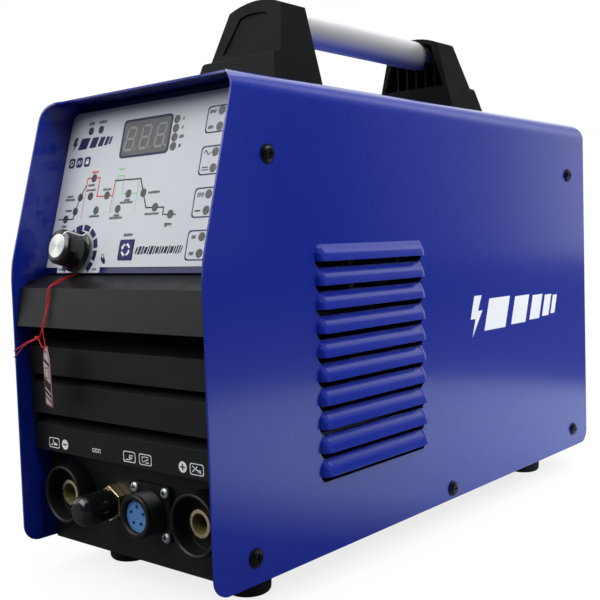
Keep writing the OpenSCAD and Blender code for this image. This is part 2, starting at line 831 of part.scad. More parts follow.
module foot_screws() {
    color(steel) in_case() foot_places() {
        translate([0, 0, -lift + 8 - 3]) difference() {
            cylinder(r = 4.8, h = 3);
            for (a = [0, 90]) rotate(a) translate([-3, -0.5, -1]) cube([6, 1, 2]);
        }
        translate([0, 0, -lift + 7]) cylinder(r = 2.5, h = lift);
        translate([0, 0, 0.5]) cylinder(d = 9, h = 4, $fn = 6);
    }
}

module cover_screws() {
    color(black) in_case() both_sides() for (s = side_screws)
        translate([case_w / 2, s[0], s[1]]) rotate([0, 0, -90]) {
            pan_screw(4, 1.9, 8);
            difference() {
                bar_y(5, 0, 0.8);
                bar_y(3.5, -1, 2);
            }
        }
}

// ---------- power parts ----------

module main_board() {
    color(board_green) in_case() {
        box([-68, 68], [150, 340], [shelf_z + 8, shelf_z + 9.6]);
        for (x = [-60, 60], y = [160, 245, 330]) translate([x, y, shelf_z + sheet]) cylinder(r = 3, h = 7);
    }
}

module capacitors() {
    color([0.12, 0.13, 0.16]) in_case() for (x = [-42, 0, 42], y = [190, 235])
        translate([x, y, shelf_z + 9.6]) {
            cylinder(r = 17.5, h = 48);
            translate([0, 0, 48]) cylinder(r1 = 17.5, r2 = 16.5, h = 2);
        }
}

module heatsinks() {
    color(steel) in_case() both_sides() {
        box([8, 13], [90, 225], [20, 112]);
        for (z = [22 : 8 : 110]) box([12.5, 64], [90, 225], [z - 1, z + 1]);
    }
}

core_at = [0, 275, 61];

module transformer_core() {
    color([0.2, 0.2, 0.2]) in_case() translate(core_at) difference() {
        cube([84, 40, 74], center = true);
        for (x = [-20.5, 20.5]) translate([x, 0, 0]) cube([21, 50, 46], center = true);
    }
}

module transformer_windings() {
    color(copper) in_case() translate(core_at) difference() {
        cube([60, 70, 44], center = true);
        cube([20.5, 40.5, 60], center = true);
    }
}

choke_at = [22, 338, 60];

module output_choke() {
    color([0.75, 0.65, 0.2]) in_case() translate(choke_at) rotate([90, 0, 0]) {
        rotate_extrude() translate([15, -9]) square([18, 18]);
        color(copper) for (a = [0 : 20 : 359]) rotate(a) translate([24, 0, 0]) difference() {
            cube([24, 2.4, 24], center = true);
            cube([19, 5, 19], center = true);
        }
    }
}

module hf_coil() {
    color(copper) in_case() translate([0, 112, shelf_z + sheet]) {
        cylinder(r = 24, h = 3);
        cylinder(r = 16, h = 52);
        translate([0, 0, 49]) cylinder(r = 24, h = 3);
    }
}

valve_y = 368;
plunger_r = 4.95;

module solenoid_valve() {
    color(brass) in_case() translate([inlet_x, valve_y, low_z]) difference() {
        union() {
            box([-11, 11], [0, 26], [-10, 10]);
            box([-12, 12], [-2, 28], [10, 38]);
        }
        translate([0, 13, -2]) cylinder(r = 5, h = 36);
        bar_y(2, -3, 30, 0, -6);
    }
}

module solenoid_plunger() {
    color(steel) in_case() translate([inlet_x, valve_y + 13, low_z]) cylinder(r = plunger_r, h = 30);
}

// A round hose through points, with a slightly larger ball at each bend
module hose(points, r) {
    for (i = [0 : len(points) - 2]) {
        d = points[i + 1] - points[i];
        translate(points[i]) rotate([0, acos(d[2] / norm(d)), atan2(d[1], d[0])]) cylinder(r = r, h = norm(d));
        if (i > 0) translate(points[i]) sphere(r * 1.12);
    }
}

module gas_hose() {
    color(rubber) in_case() {
        hose([[inlet_x, rear_y - 14.2, low_z], [inlet_x, valve_y + 28.5, low_z]], 4);
        hose([[inlet_x, valve_y - 2.2, low_z - 6], [inlet_x, 350, low_z - 6], [inlet_x, 350, 12],
            [inlet_x, 64, 12], [gas_x, 64, 12], [gas_x, 64, conn_z], [gas_x, 46.2, conn_z]], 4);
    }
}

// ---------- hang tag ----------

cord_r = 0.55;
tag_top = [-46.5, -1, 118];

module hang_tag() {
    ledge = [-48, 4, 152];
    join = [-49, -0.5, 130];
    knot = [-54.6, -0.9, 122.8];
    color([0.8, 0.15, 0.15]) in_case() {
        hose([[knob_x + 1, 20.5, 158.6], ledge, join, knot, [-67, -1.2, 121], [-78, -1, 114.5]], cord_r);
        hose([join + [0, 0, -0.2], tag_top], cord_r);
    }
    color("white") in_case() translate(tag_top) rotate([0, 0, -28]) translate([-9, -0.25, -34]) cube([16, 0.5, 33]);
}

cover();
base_tray();
inner_chassis();
rear_panel();
front_bezel();
handle_post_front();
handle_post_rear();
handle_tube();
handle_bolts();
cover_screws();
rubber_feet();
foot_screws();
control_panel_plate();
panel_overlay();
display_module();
indicator_leds();
panel_pcb();
menu_key();
process_key();
current_key();
pulse_key();
trigger_key();
potentiometer();
knob_nut();
knob_shaft();
control_knob();
knob_cap();
negative_socket_body();
negative_socket_contact();
positive_socket_body();
positive_socket_contact();
socket_nuts();
gas_outlet();
gas_cap();
connector_shell();
connector_insert();
connector_screws();
output_leads();
power_switch();
power_rocker();
cable_gland();
mains_cable();
gas_inlet();
earth_stud();
fan_frame();
fan_rotor();
fan_guard();
fan_screws();
main_board();
capacitors();
heatsinks();
transformer_core();
transformer_windings();
output_choke();
hf_coil();
solenoid_valve();
solenoid_plunger();
gas_hose();
hang_tag();
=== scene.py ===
"""Looks of the TIG welding machine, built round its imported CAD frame. Local sizes are in millimetres."""

import math
import random

import bpy
from mathutils import Matrix, Vector


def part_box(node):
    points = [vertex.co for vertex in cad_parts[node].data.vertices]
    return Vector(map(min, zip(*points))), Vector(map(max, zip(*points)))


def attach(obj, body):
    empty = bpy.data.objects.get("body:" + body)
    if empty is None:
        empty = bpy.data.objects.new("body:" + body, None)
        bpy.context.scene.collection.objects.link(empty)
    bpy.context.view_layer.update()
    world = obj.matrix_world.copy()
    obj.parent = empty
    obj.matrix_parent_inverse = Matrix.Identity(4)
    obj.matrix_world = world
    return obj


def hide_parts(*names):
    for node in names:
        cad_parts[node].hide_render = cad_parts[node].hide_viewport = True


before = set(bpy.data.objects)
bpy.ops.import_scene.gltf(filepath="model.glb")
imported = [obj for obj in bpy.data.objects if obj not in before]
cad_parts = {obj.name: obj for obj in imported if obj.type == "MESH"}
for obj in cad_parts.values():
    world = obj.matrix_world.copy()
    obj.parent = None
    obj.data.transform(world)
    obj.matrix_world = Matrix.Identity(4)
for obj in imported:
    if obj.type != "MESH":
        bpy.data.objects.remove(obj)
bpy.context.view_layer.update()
MM = 0.001

# ---------- places: case millimetres start at the middle of the cover's lower front edge ----------

COVER_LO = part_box("cover")[0]
ORIGIN = Vector((0, COVER_LO.y, COVER_LO.z))
CASE_W, CASE_D, CASE_H = 160.0, 434.0, 260.0

# above KINK_Z the front leans back, by LEAN_Y at the top; the control panel stands VISOR behind it
LEAN_Y, KINK_Z, VISOR = 27.0, 162.5, 23.5
LEAN = math.atan(LEAN_Y / (CASE_H - KINK_Z))
SA, CA = math.sin(LEAN), math.cos(LEAN)

REAR_Y = 422.0
FAN_Z, FAN_CORNER = 138.0, 52.5
CORNERS = [(x, z) for x in (-1, 1) for z in (-1, 1)]
SOCKET_X, SOCKET_Z = 54.5, 30.5
CONN_X, CONN_Z = 12.3, 29.0

# on the control panel, across and up from the foot of its middle line
KNOB_AT, KNOB_TOP = (-49.0, 9.0), 16.0
POINTER_TURN = math.radians(-33)
WINDOW_AT = (-6.8, 75.3)
MODE_V = [11.2 + 22.8 * i for i in range(4)]


def axes(x_axis, y_axis, z_axis, at):
    """Matrix from local millimetres to the row frame; at is in case millimetres."""
    m = Matrix((x_axis, y_axis, z_axis)).transposed().to_4x4()
    return Matrix.Translation(ORIGIN + Vector(at) * MM) @ m @ Matrix.Scale(MM, 4)


def case(x=0, y=0, z=0):
    return axes((1, 0, 0), (0, 1, 0), (0, 0, 1), (x, y, z))


def front(x, y, z):
    """Local z comes out of the front of the machine, local y is up."""
    return axes((1, 0, 0), (0, 0, 1), (0, -1, 0), (x, y, z))


def back(x, y, z):
    return axes((-1, 0, 0), (0, 0, 1), (0, 1, 0), (x, y, z))


def side(sign):
    """Local z comes out of the right (1) or left (-1) side, local y is up."""
    return axes((0, sign, 0), (0, 0, 1), (sign, 0, 0), (CASE_W / 2 * sign, 0, 0))


def panel(x=0, v=0, out=0):
    """Local z comes out of the control panel, local y goes up its slope."""
    at = (x, VISOR + v * SA - out * CA, KINK_Z - 0.5 + v * CA + out * SA)
    return axes((1, 0, 0), (0, SA, CA), (0, -CA, SA), at)


# ---------- node materials ----------

VECTOR = "ShaderNodeVectorMath"


class Tree:
    """A shader tree, with short ways to add and join its nodes."""

    def __init__(self, owner):
        owner.use_nodes = True
        self.tree = owner.node_tree

    def feed(self, socket, value):
        """Joins an output to the socket, or gives the socket a plain value."""
        if hasattr(value, "is_output"):
            self.tree.links.new(value, socket)
        else:
            socket.default_value = value

    def new(self, kind, **values):
        """Adds a node; values name its settings and its inputs."""
        node = self.tree.nodes.new(kind)
        for key, value in values.items():
            if hasattr(node, key):
                setattr(node, key, value)
            else:
                self.feed(node.inputs[key.replace("_", " ")], value)
        return node

    def maths(self, operation, *values, kind="ShaderNodeMath", result="Value"):
        node = self.new(kind, operation=operation)
        for socket, value in zip(node.inputs, values):
            self.feed(socket, value)
        return node.outputs[result]

    def ramp(self, value, low, high, a=0.3, b=0.7, shape="LINEAR"):
        """Goes from low to high while value goes from a to b."""
        return self.new("ShaderNodeMapRange", interpolation_type=shape, Value=value,
                        From_Min=a, From_Max=b, To_Min=low, To_Max=high).outputs["Result"]

    def mix_shaders(self, fac, first, second):
        node = self.new("ShaderNodeMixShader", Fac=fac)
        self.feed(node.inputs[1], first.outputs[0])
        self.feed(node.inputs[2], second.outputs[0])
        return node

    def camera_sees(self, shown, rest, out):
        """Shows one shader to the camera, and lights the machine with the other."""
        camera = self.new("ShaderNodeLightPath").outputs["Is Camera Ray"]
        self.feed(self.tree.nodes[out].inputs["Surface"], self.mix_shaders(camera, rest, shown).outputs[0])


class Nodes(Tree):
    """The tree of a material with one principled shader."""

    def __init__(self, name):
        self.mat = bpy.data.materials.new(name)
        super().__init__(self.mat)
        self.shader = self.tree.nodes["Principled BSDF"]
        self.coords = self.new("ShaderNodeTexCoord").outputs["Object"]

    def set(self, **values):
        for key, value in values.items():
            self.feed(self.shader.inputs[key.replace("_", " ")], value)

    def stretched(self, scale):
        return self.new("ShaderNodeMapping", Scale=scale, Vector=self.coords).outputs["Vector"]

    def noise(self, scale, detail=2.0, rough=0.5, vector=None):
        return self.new("ShaderNodeTexNoise", Scale=scale, Detail=detail, Roughness=rough,
                        Vector=vector or self.coords).outputs["Fac"]

    def wave(self, scale, vector, **values):
        return self.new("ShaderNodeTexWave", Scale=scale, Vector=vector, **values).outputs["Fac"]

    def mix(self, fac, a, b):
        node = self.new("ShaderNodeMix", data_type="RGBA")
        for slot, value in ((0, fac), (6, (*a, 1)), (7, (*b, 1))):
            self.feed(node.inputs[slot], value)
        return node.outputs[2]

    def vary(self, fac, color, low, high):
        """The colour, from low to high times its brightness."""
        self.set(Base_Color=self.mix(fac, *([min(1, c * k) for c in color] for k in (low, high))))

    def rough(self, fac, low, high):
        self.set(Roughness=self.ramp(fac, low, high))

    def bump(self, height, strength, distance, **under):
        node = self.new("ShaderNodeBump", Strength=strength, Distance=distance, Height=height, **under)
        self.set(Normal=node.outputs["Normal"])
        return node.outputs["Normal"]


def powder_coat(name, color):
    """Glossy paint with a faint orange peel."""
    n = Nodes(name)
    n.vary(n.noise(9), color, 0.97, 1.03)
    n.rough(n.noise(900, 3), 0.22, 0.28)
    n.set(Specular_IOR_Level=0.25, Coat_Weight=0.75, Coat_Roughness=0.12)
    peel = n.bump(n.noise(620), 0.1, 0.0003)
    n.bump(n.noise(2600, 2, 0.6), 0.06, 0.0001, Normal=peel)
    return n.mat


def moulded(name, color, rough, grain=2200, depth=0.25, speckle=0.12, specular=0.35):
    """Textured plastic."""
    n = Nodes(name)
    fine = n.noise(grain, 3, 0.6)
    n.vary(fine, color, 1 - speckle, 1 + speckle)
    n.rough(n.noise(90, 3), rough - 0.05, rough + 0.06)
    n.bump(fine, depth, 0.00012)
    n.set(Specular_IOR_Level=specular)
    return n.mat


def metal(name, color, rough, stretch=(900, 900, 900), depth=0.12, tint=0.08, metallic=1.0):
    """Metal whose grain runs along the axes with the smallest stretch."""
    n = Nodes(name)
    lines = n.noise(1, 3, 0.6, n.stretched(stretch))
    n.vary(n.noise(70, 3), color, 1 - tint, 1)
    n.rough(lines, rough - 0.08, rough + 0.1)
    n.set(Metallic=metallic)
    n.bump(lines, depth, 0.00005)
    return n.mat


def rubbery(name, color, rough=0.72):
    n = Nodes(name)
    n.vary(n.noise(120, 4), color, 0.8, 1.25)
    n.rough(n.noise(300, 3), rough - 0.08, rough + 0.08)
    n.bump(n.noise(1500, 4, 0.6), 0.2, 0.0001)
    return n.mat


def ink(name, color, rough=0.4):
    n = Nodes(name)
    n.vary(n.noise(800), color, 0.9, 1.1)
    n.rough(n.noise(500), rough - 0.05, rough + 0.05)
    n.set(Specular_IOR_Level=0.2)
    return n.mat


def film(name, color):
    """Matt film of the printed overlay."""
    n = Nodes(name)
    n.vary(n.noise(25, 3), color, 0.97, 1)
    n.rough(n.noise(400), 0.34, 0.44)
    n.bump(n.noise(3000), 0.12, 0.00006)
    return n.mat


def glossy(name, color, rough, coat):
    n = Nodes(name)
    n.vary(n.noise(90), color, 0.88, 1.1)
    n.rough(n.noise(260, 3), max(0.03, rough - 0.04), rough + 0.05)
    n.set(Coat_Weight=coat, Coat_Roughness=0.06)
    n.bump(n.noise(380), 0.03, 0.0002)
    return n.mat


def board(name):
    """Circuit board with faint tracks under its lacquer."""
    n = Nodes(name)
    lines = n.noise(1, 0, 0.5, n.stretched((260, 900, 260)))
    n.set(Base_Color=n.mix(n.ramp(lines, 0, 1, 0.48, 0.52), (0.008, 0.07, 0.025), (0.012, 0.12, 0.045)))
    n.rough(n.noise(200), 0.25, 0.4)
    n.bump(lines, 0.2, 0.0001)
    return n.mat


def wound(name, color, pitch, direction):
    """Enamelled wire laid side by side; pitch is in metres."""
    n = Nodes(name)
    wires = n.wave(math.pi / pitch, n.coords, wave_type="BANDS", bands_direction=direction, Distortion=0.6)
    n.vary(wires, color, 0.45, 1)
    n.rough(n.noise(500), 0.25, 0.4)
    n.set(Metallic=0.75)
    n.bump(wires, 0.6, 0.0005)
    return n.mat


def spun(name, matrix):
    """Bright disc turned on a lathe: fine rings, and two soft fans of painted highlight round its own axis.
    """
    n = Nodes(name)
    away = n.maths("SUBTRACT", n.coords, matrix.translation, kind=VECTOR, result="Vector")
    across = [matrix.col[axis].to_3d().normalized() for axis in (0, 1)]
    flat = [n.maths("DOT_PRODUCT", away, axis, kind=VECTOR) for axis in across]
    highlight_fans = n.maths("COSINE", n.maths("MULTIPLY", n.maths("ARCTAN2", *flat), 2.0))
    # the two fans brighten the base colour: a painted reflection
    n.set(Base_Color=n.mix(n.ramp(highlight_fans, 0, 1, -1, 1), (0.46, 0.46, 0.45), (0.78, 0.78, 0.76)), Metallic=1.0)
    n.rough(n.noise(900), 0.26, 0.36)
    n.bump(n.wave(1200, away, wave_type="RINGS", rings_direction="SPHERICAL"), 0.06, 0.00003)
    return n.mat


BLUE = powder_coat("blue_powder_coat", (0.0057, 0.018, 0.257))
# blue coat of the panel plate, darkened to paint the shade that the visor casts on it
PLATE_SHADE_COAT = powder_coat("blue_coat_darkened_as_shade", (0.0035, 0.007, 0.075))
BLACK = moulded("black_plastic", (0.0062, 0.0064, 0.0064), 0.42, specular=0.3)
GREY = moulded("grained_grey_plastic", (0.0048, 0.0052, 0.0052), 0.5, 1500, 0.5, 0.35, 0.06)
BORE = moulded("shadowed_brass", (0.1, 0.083, 0.022), 0.4, 900, 0.2, 0.2)
KEY = moulded("navy_key", (0.013, 0.018, 0.1), 0.4, 2400, 0.2, 0.08, 0.2)
FERRITE = moulded("ferrite", (0.03, 0.03, 0.032), 0.6, 1200, 0.5, 0.3)
GLOSS = glossy("gloss_plastic", (0.006, 0.0065, 0.007), 0.17, 0.3)
KNOB = glossy("gloss_black", (0.006, 0.0065, 0.007), 0.2, 0.3)
WINDOW = glossy("smoked_window", (0.075, 0.08, 0.085), 0.2, 0.15)
LENS = glossy("tinted_lens", (0.05, 0.053, 0.057), 0.25, 0.05)
NYLON = glossy("blue_nylon", (0.08, 0.22, 0.5), 0.3, 0.2)
SLEEVE = glossy("capacitor_sleeve", (0.02, 0.022, 0.03), 0.25, 0.3)
ROCKER = glossy("rocker_red", (0.35, 0.008, 0.008), 0.2, 0.5)
ZINC = metal("zinc_steel", (0.62, 0.63, 0.65), 0.34)
BRIGHT = metal("bright_zinc", (0.82, 0.87, 0.88), 0.48, (700, 700, 700), 0.1)
# galvanised sheet darkened far below bare zinc, so the inside seen through the louvers looks dark: painted
# shade
SHEET_DARKENED_AS_SHADE = metal("galvanised_sheet_darkened_as_shade", (0.13, 0.135, 0.14), 0.5, (300, 300, 300), 0.1, 0.3)
SCREW = metal("blackened_steel_and_recess_shade", (0.05, 0.05, 0.055), 0.34, depth=0.2)
TUBE = metal("anodised_tube", (0.74, 0.74, 0.74), 0.5, (1600, 60, 1600), 0.1, metallic=0.72)
# heatsinks made dark so the inside seen through the louvers looks dark: painted shade
DARK_HEATSINK_SHADE = metal("heatsink_darkened_as_shade", (0.035, 0.036, 0.038), 0.45, (900, 60, 900))
BRASS = metal("turned_brass", (0.93, 0.77, 0.48), 0.28, (300, 2500, 300), 0.05)
COPPER = metal("copper_strip", (0.8, 0.4, 0.22), 0.3)
SPUN = spun("spun_cap", panel(*KNOB_AT, KNOB_TOP))
WINDING = wound("wound_copper", (0.6, 0.25, 0.1), 0.0012, "Z")
BOARD = board("green_board")
RUBBER = rubbery("black_rubber", (0.014, 0.014, 0.015))
CORD = rubbery("red_cord", (0.5, 0.008, 0.014), 0.6)
FILM = film("printed_film", (0.59, 0.615, 0.65))
NAVY = ink("navy_print", (0.013, 0.018, 0.075))
DARK = ink("dark_print", (0.012, 0.014, 0.03))
RED = ink("red_print", (0.62, 0.02, 0.02))
GREEN = ink("green_print", (0.22, 0.62, 0.2))
WHITE = ink("white_print", (0.82, 0.83, 0.84))
GHOST = ink("unlit_segment", (0.27, 0.275, 0.28), 0.3)
CARD = ink("white_card", (0.46, 0.4, 0.4), 0.55)
CARD_EDGE = ink("card_border", (0.2, 0.035, 0.05), 0.5)
CARD_BAR = ink("card_bars", (0.009, 0.007, 0.008), 0.6)

# ---------- modifiers ----------


def smooth_group():
    """Shades smooth, but keeps edges sharper than the angle sharp."""
    g = bpy.data.node_groups.new("smooth_by_angle", "GeometryNodeTree")
    for name, way, kind in (("Geometry", "INPUT", "Geometry"), ("Angle", "INPUT", "Float"),
                            ("Geometry", "OUTPUT", "Geometry")):
        g.interface.new_socket(name, in_out=way, socket_type="NodeSocket" + kind)
    given, done, angle, less, faces, edges = (g.nodes.new(kind) for kind in (
        "NodeGroupInput", "NodeGroupOutput", "GeometryNodeInputMeshEdgeAngle", "FunctionNodeCompare",
        "GeometryNodeSetShadeSmooth", "GeometryNodeSetShadeSmooth"))
    edges.domain = "EDGE"
    less.operation = "LESS_EQUAL"
    for a, b in ((given.outputs["Geometry"], faces.inputs["Geometry"]),
                 (faces.outputs["Geometry"], edges.inputs["Geometry"]),
                 (angle.outputs["Unsigned Angle"], less.inputs[0]),
                 (given.outputs["Angle"], less.inputs[1]),
                 (less.outputs["Result"], edges.inputs["Shade Smooth"]),
                 (edges.outputs["Geometry"], done.inputs["Geometry"])):
        g.links.new(a, b)
    return g


SMOOTH = smooth_group()
ANGLE_KEY = next(s.identifier for s in SMOOTH.interface.items_tree
                 if s.name == "Angle" and s.in_out == "INPUT")


def finish_mesh(ob, bevel=0.0, sharp=32.0, segments=2, bevel_angle=32.0):
    """Shades the mesh, and eases its edges by bevel millimetres. Angles are in degrees."""
    smooth = ob.modifiers.new("smooth", "NODES")
    smooth.node_group = SMOOTH
    smooth[ANGLE_KEY] = math.radians(sharp)
    if bevel:
        m = ob.modifiers.new("bevel", "BEVEL")
        m.width = bevel * MM
        m.segments = segments
        m.limit_method = "ANGLE"
        m.angle_limit = math.radians(bevel_angle)
        m.use_clamp_overlap = True
        m.miter_outer = "MITER_ARC"
        m.harden_normals = True


def dress(mat, bevel, *nodes, **kw):
    """Keeps the shapes of CAD nodes, with their edges eased and a material of their own."""
    for node in nodes:
        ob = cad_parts[node]
        for key in ("custom_normal", "sharp_edge", "sharp_face"):
            found = ob.data.attributes.get(key)
            if found:
                ob.data.attributes.remove(found)
        ob.modifiers.new("weld", "WELD").merge_threshold = 2e-6
        flat = ob.modifiers.new("flat", "DECIMATE")
        flat.decimate_type = "DISSOLVE"
        flat.angle_limit = math.radians(0.6)
        finish_mesh(ob, bevel, **kw)
        ob.data.materials.clear()
        ob.data.materials.append(mat)


# ---------- shapes ----------


def circle(r, segs, cx=0.0, cy=0.0):
    turns = [2 * math.pi * i / segs for i in range(segs)]
    return [(cx + r * math.cos(t), cy + r * math.sin(t)) for t in turns]


def rounded(points, radii, steps=6):
    """Outline through points with each corner rounded by its radius."""
    out = []
    n = len(points)
    for i in range(n):
        a, p, b = (Vector(points[j % n]) for j in (i - 1, i, i + 1))
        r = radii[i] if isinstance(radii, list) else radii
        if r <= 0:
            out.append(tuple(p))
            continue
        u, w = (a - p).normalized(), (b - p).normalized()
        half = u.angle(w) / 2
        c = p + (u + w).normalized() * r / math.sin(half)
        s, e = (p + along * r / math.tan(half) - c for along in (u, w))
        turn = s.angle_signed(e)
        out += [tuple(c + Matrix.Rotation(-turn * k / steps, 2) @ s) for k in range(steps + 1)]
    return out


def rect(cx, cy, w, h, slant=0.0):
    k = slant * h / 2
    return [(cx - w / 2 - k, cy - h / 2), (cx + w / 2 - k, cy - h / 2),
            (cx + w / 2 + k, cy + h / 2), (cx - w / 2 + k, cy + h / 2)]


def plate(w, h, r, cx=0.0, cy=0.0):
    return rounded(rect(cx, cy, w, h), r)


class Shape:
    """Faces of one piece, made of simple solids placed by matrices."""

    def __init__(self):
        self.v, self.f, self.k = [], [], []

    def put(self, at, verts, faces, mat=0):
        n = len(self.v)
        self.v += [at @ Vector(p) for p in verts]
        self.f += [[n + i for i in f] for f in faces]
        self.k += [mat] * len(faces)
        return self

    def prism(self, at, outline, z0, z1, mat=0):
        n = len(outline)
        verts = [(p[0], p[1], z) for z in (z0, z1) for p in outline]
        faces = [list(range(n))[::-1], list(range(n, 2 * n))]
        faces += [[i, (i + 1) % n, n + (i + 1) % n, n + i] for i in range(n)]
        return self.put(at, verts, faces, mat)

    def frame(self, at, outer, inner, z0, z1, mat=0):
        """Prism with a hole; both outlines have the same number of points."""
        n = len(outer)
        loops = [(outer, z0), (outer, z1), (inner, z1), (inner, z0)]
        verts = [(p[0], p[1], z) for o, z in loops for p in o]
        faces = []
        for k in range(4):
            a, b = k * n, ((k + 1) % 4) * n
            faces += [[a + i, a + (i + 1) % n, b + (i + 1) % n, b + i] for i in range(n)]
        return self.put(at, verts, faces, mat)

    def lathe(self, at, profile, segs=64, mat=0, closed=False):
        """Turns (radius, height) points round local z."""
        verts, rings = [], []
        for r, h in profile:
            ring = circle(r, segs) if r > 1e-6 else [(0, 0)]
            rings.append(range(len(verts), len(verts) + len(ring)))
            verts += [(x, y, h) for x, y in ring]
        faces = []
        for a, b in zip(rings, rings[1:] + (rings[:1] if closed else [])):
            for i in range(segs):
                j = (i + 1) % segs
                face = [a[i % len(a)], a[j % len(a)], b[j % len(b)], b[i % len(b)]]
                face = list(dict.fromkeys(face))
                if len(face) > 2:
                    faces.append(face)
        return self.put(at, verts, faces, mat)

    def tube(self, at, path, r, segs=8, closed=False):
        """Round wire along a path."""
        pts = [Vector(p) for p in path]
        n = len(pts)
        verts, normal = [], None
        for i, p in enumerate(pts):
            a, b = (i - 1, (i + 1) % n) if closed else (max(i - 1, 0), min(i + 1, n - 1))
            t = (pts[b] - pts[a]).normalized()
            normal = normal or t.orthogonal()
            normal = (normal - t * normal.dot(t)).normalized()
            other = t.cross(normal)
            verts += [p + r * (normal * x + other * y) for x, y in circle(1, segs)]
        faces = []
        for i in range(n if closed else n - 1):
            a, b = i * segs, ((i + 1) % n) * segs
            faces += [[a + k, a + (k + 1) % segs, b + (k + 1) % segs, b + k] for k in range(segs)]
        if not closed:
            faces += [list(range(segs))[::-1], list(range((n - 1) * segs, n * segs))]
        return self.put(at, verts, faces)

    def done(self, name, mats, body="chassis", slot=None, replaces=(), **kw):
        """Makes the object with its materials on its body, and hides the CAD nodes it stands for; slot is not
        used.
        """
        me = bpy.data.meshes.new(name)
        me.from_pydata([tuple(v) for v in self.v], [], self.f)
        for mat in mats if isinstance(mats, list) else [mats]:
            me.materials.append(mat)
        me.polygons.foreach_set("material_index", self.k)
        me.validate()
        me.update()
        ob = bpy.data.objects.new(name, me)
        bpy.context.scene.collection.objects.link(ob)
        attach(ob, body)
        if replaces:
            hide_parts(*replaces)
        finish_mesh(ob, **kw)
        return ob


def curve(points, steps=8):
    """Smooth path through points."""
    pts = [Vector(p) for p in points]
    pts = [2 * pts[0] - pts[1]] + pts + [2 * pts[-1] - pts[-2]]
    out = []
    for i in range(1, len(pts) - 2):
        p0, p1, p2, p3 = pts[i - 1:i + 3]
        for k in range(steps):
            t = k / steps
            out.append(0.5 * (2 * p1 + (p2 - p0) * t + (2 * p0 - 5 * p1 + 4 * p2 - p3) * t * t
                              + (3 * p1 - p0 - 3 * p2 + p3) * t ** 3))
    out.append(pts[-2])
    return out


# ---------- cover: one folded sheet with stamped louvers ----------

SHEET = 1.2
BEND = 12.0
# radii of the cover's edge seen from the side: foot and rear corners, lean of the front, front top
FOOT_R, KINK_R, TOP_R = 10.0, 60.0, 7.0
LOUVER_Y = (84.0, 189.0)
LOUVER_Z, LOUVER_PITCH, LOUVERS = 43.5, 13.15, 10
LOUVER_OUT, LOUVER_REACH, LOUVER_SLOPE = 4.5, 9.47, 5.2
# a hood leans back this far over this height above its lip, and its slot opens this far below it
HOOD_LEAN, LEAN_HEIGHT, SLOT = 1.1, 4.8, 3.5


def edge_front(z):
    """y of the cover's front edge at height z."""
    if z < FOOT_R:
        return FOOT_R - math.sqrt(max(0, FOOT_R ** 2 - (FOOT_R - z) ** 2))
    t = KINK_R * math.tan(LEAN / 2)
    if z < KINK_Z - t:
        return 0.0
    if z < KINK_Z + t * CA:
        return KINK_R - math.sqrt(KINK_R ** 2 - (z - KINK_Z + t) ** 2)
    t = TOP_R / math.tan((math.pi / 2 + LEAN) / 2)
    if z < CASE_H - t * CA:
        return (z - KINK_Z) * math.tan(LEAN)
    return LEAN_Y + t - math.sqrt(max(0, TOP_R ** 2 - (z - CASE_H + TOP_R) ** 2))


def edge_back(z):
    """y of the cover's rear edge at height z."""
    into_corner = max(FOOT_R - z, z - CASE_H + FOOT_R, 0)
    return CASE_D - FOOT_R + math.sqrt(max(0, FOOT_R ** 2 - into_corner ** 2))


def soft_step(x, foot=0.12, top=0.35, gain=1.12):
    """0 to 1 with a small fillet at the foot and a larger one at the top."""
    f = (x * x / (2 * foot) if x < foot else x - foot / 2) * gain
    h = max(top - abs(f - 1), 0) / top
    return (min(f, 1) - h * h * top / 4) / 0.937


def louver_height(y, t):
    """How far the hood stands out at y along it and t above its lip."""
    b = min(y - LOUVER_Y[0], LOUVER_Y[1] - y)
    if b <= 0 or t >= LOUVER_REACH or t < 0:
        return 0.0
    p = max(0.0, 1 - (LOUVER_REACH - t) / LOUVER_SLOPE)
    q = max(0.0, 1 - b / LOUVER_SLOPE)
    ramp = max(0.0, 1 - math.hypot(p, q))
    end = q / (p + q) if p + q else 0.0
    rise = (1 - end) * soft_step(ramp) + end * math.sqrt(ramp * (2 - ramp))
    return rise * (LOUVER_OUT - HOOD_LEAN * min(1, t / LEAN_HEIGHT) ** 1.3)


def slot_drop(y):
    """How far the slot's lower edge lies below the lip at y."""
    b = min(y - LOUVER_Y[0], LOUVER_Y[1] - y)
    return 0.0 if b <= 0 else SLOT * min(1.0, b / 3.0) ** 0.6


def cover_rows():
    """(x, z, t) of the sheet's rows, from its right foot over the top to its left foot.

    t is the height above a louver's lip, "slot" at the foot of its slot, and None elsewhere."""
    x = CASE_W / 2
    half = [(x, FOOT_R - FOOT_R * math.cos(math.radians(a)), None) for a in range(0, 91, 10)]
    half += [(x, z, None) for z in (18, 27, 36)]
    steps = [0, 0.9, 1.8, 2.8, 3.8, 4.4, 4.9, 5.4, 6.0, 6.7, 7.4, 8.1, 8.6, 9.0, 9.3, LOUVER_REACH, 9.9]
    for i in range(LOUVERS):
        lip = LOUVER_Z + i * LOUVER_PITCH
        half += [(x, lip, "slot")] + [(x, lip + t, t) for t in steps]
    half += [(x, z, None) for z in (178, 190, 205, 220, 235, 243)]
    for k in range(15):
        a = math.radians(90 * k / 14)
        half.append((x - BEND + BEND * math.cos(a), CASE_H - BEND + BEND * math.sin(a), None))
    top = [(x, CASE_H, None) for x in (50, 25, 0, -25, -50)]
    return half + top + [(-x, z, t) for x, z, t in reversed(half)]


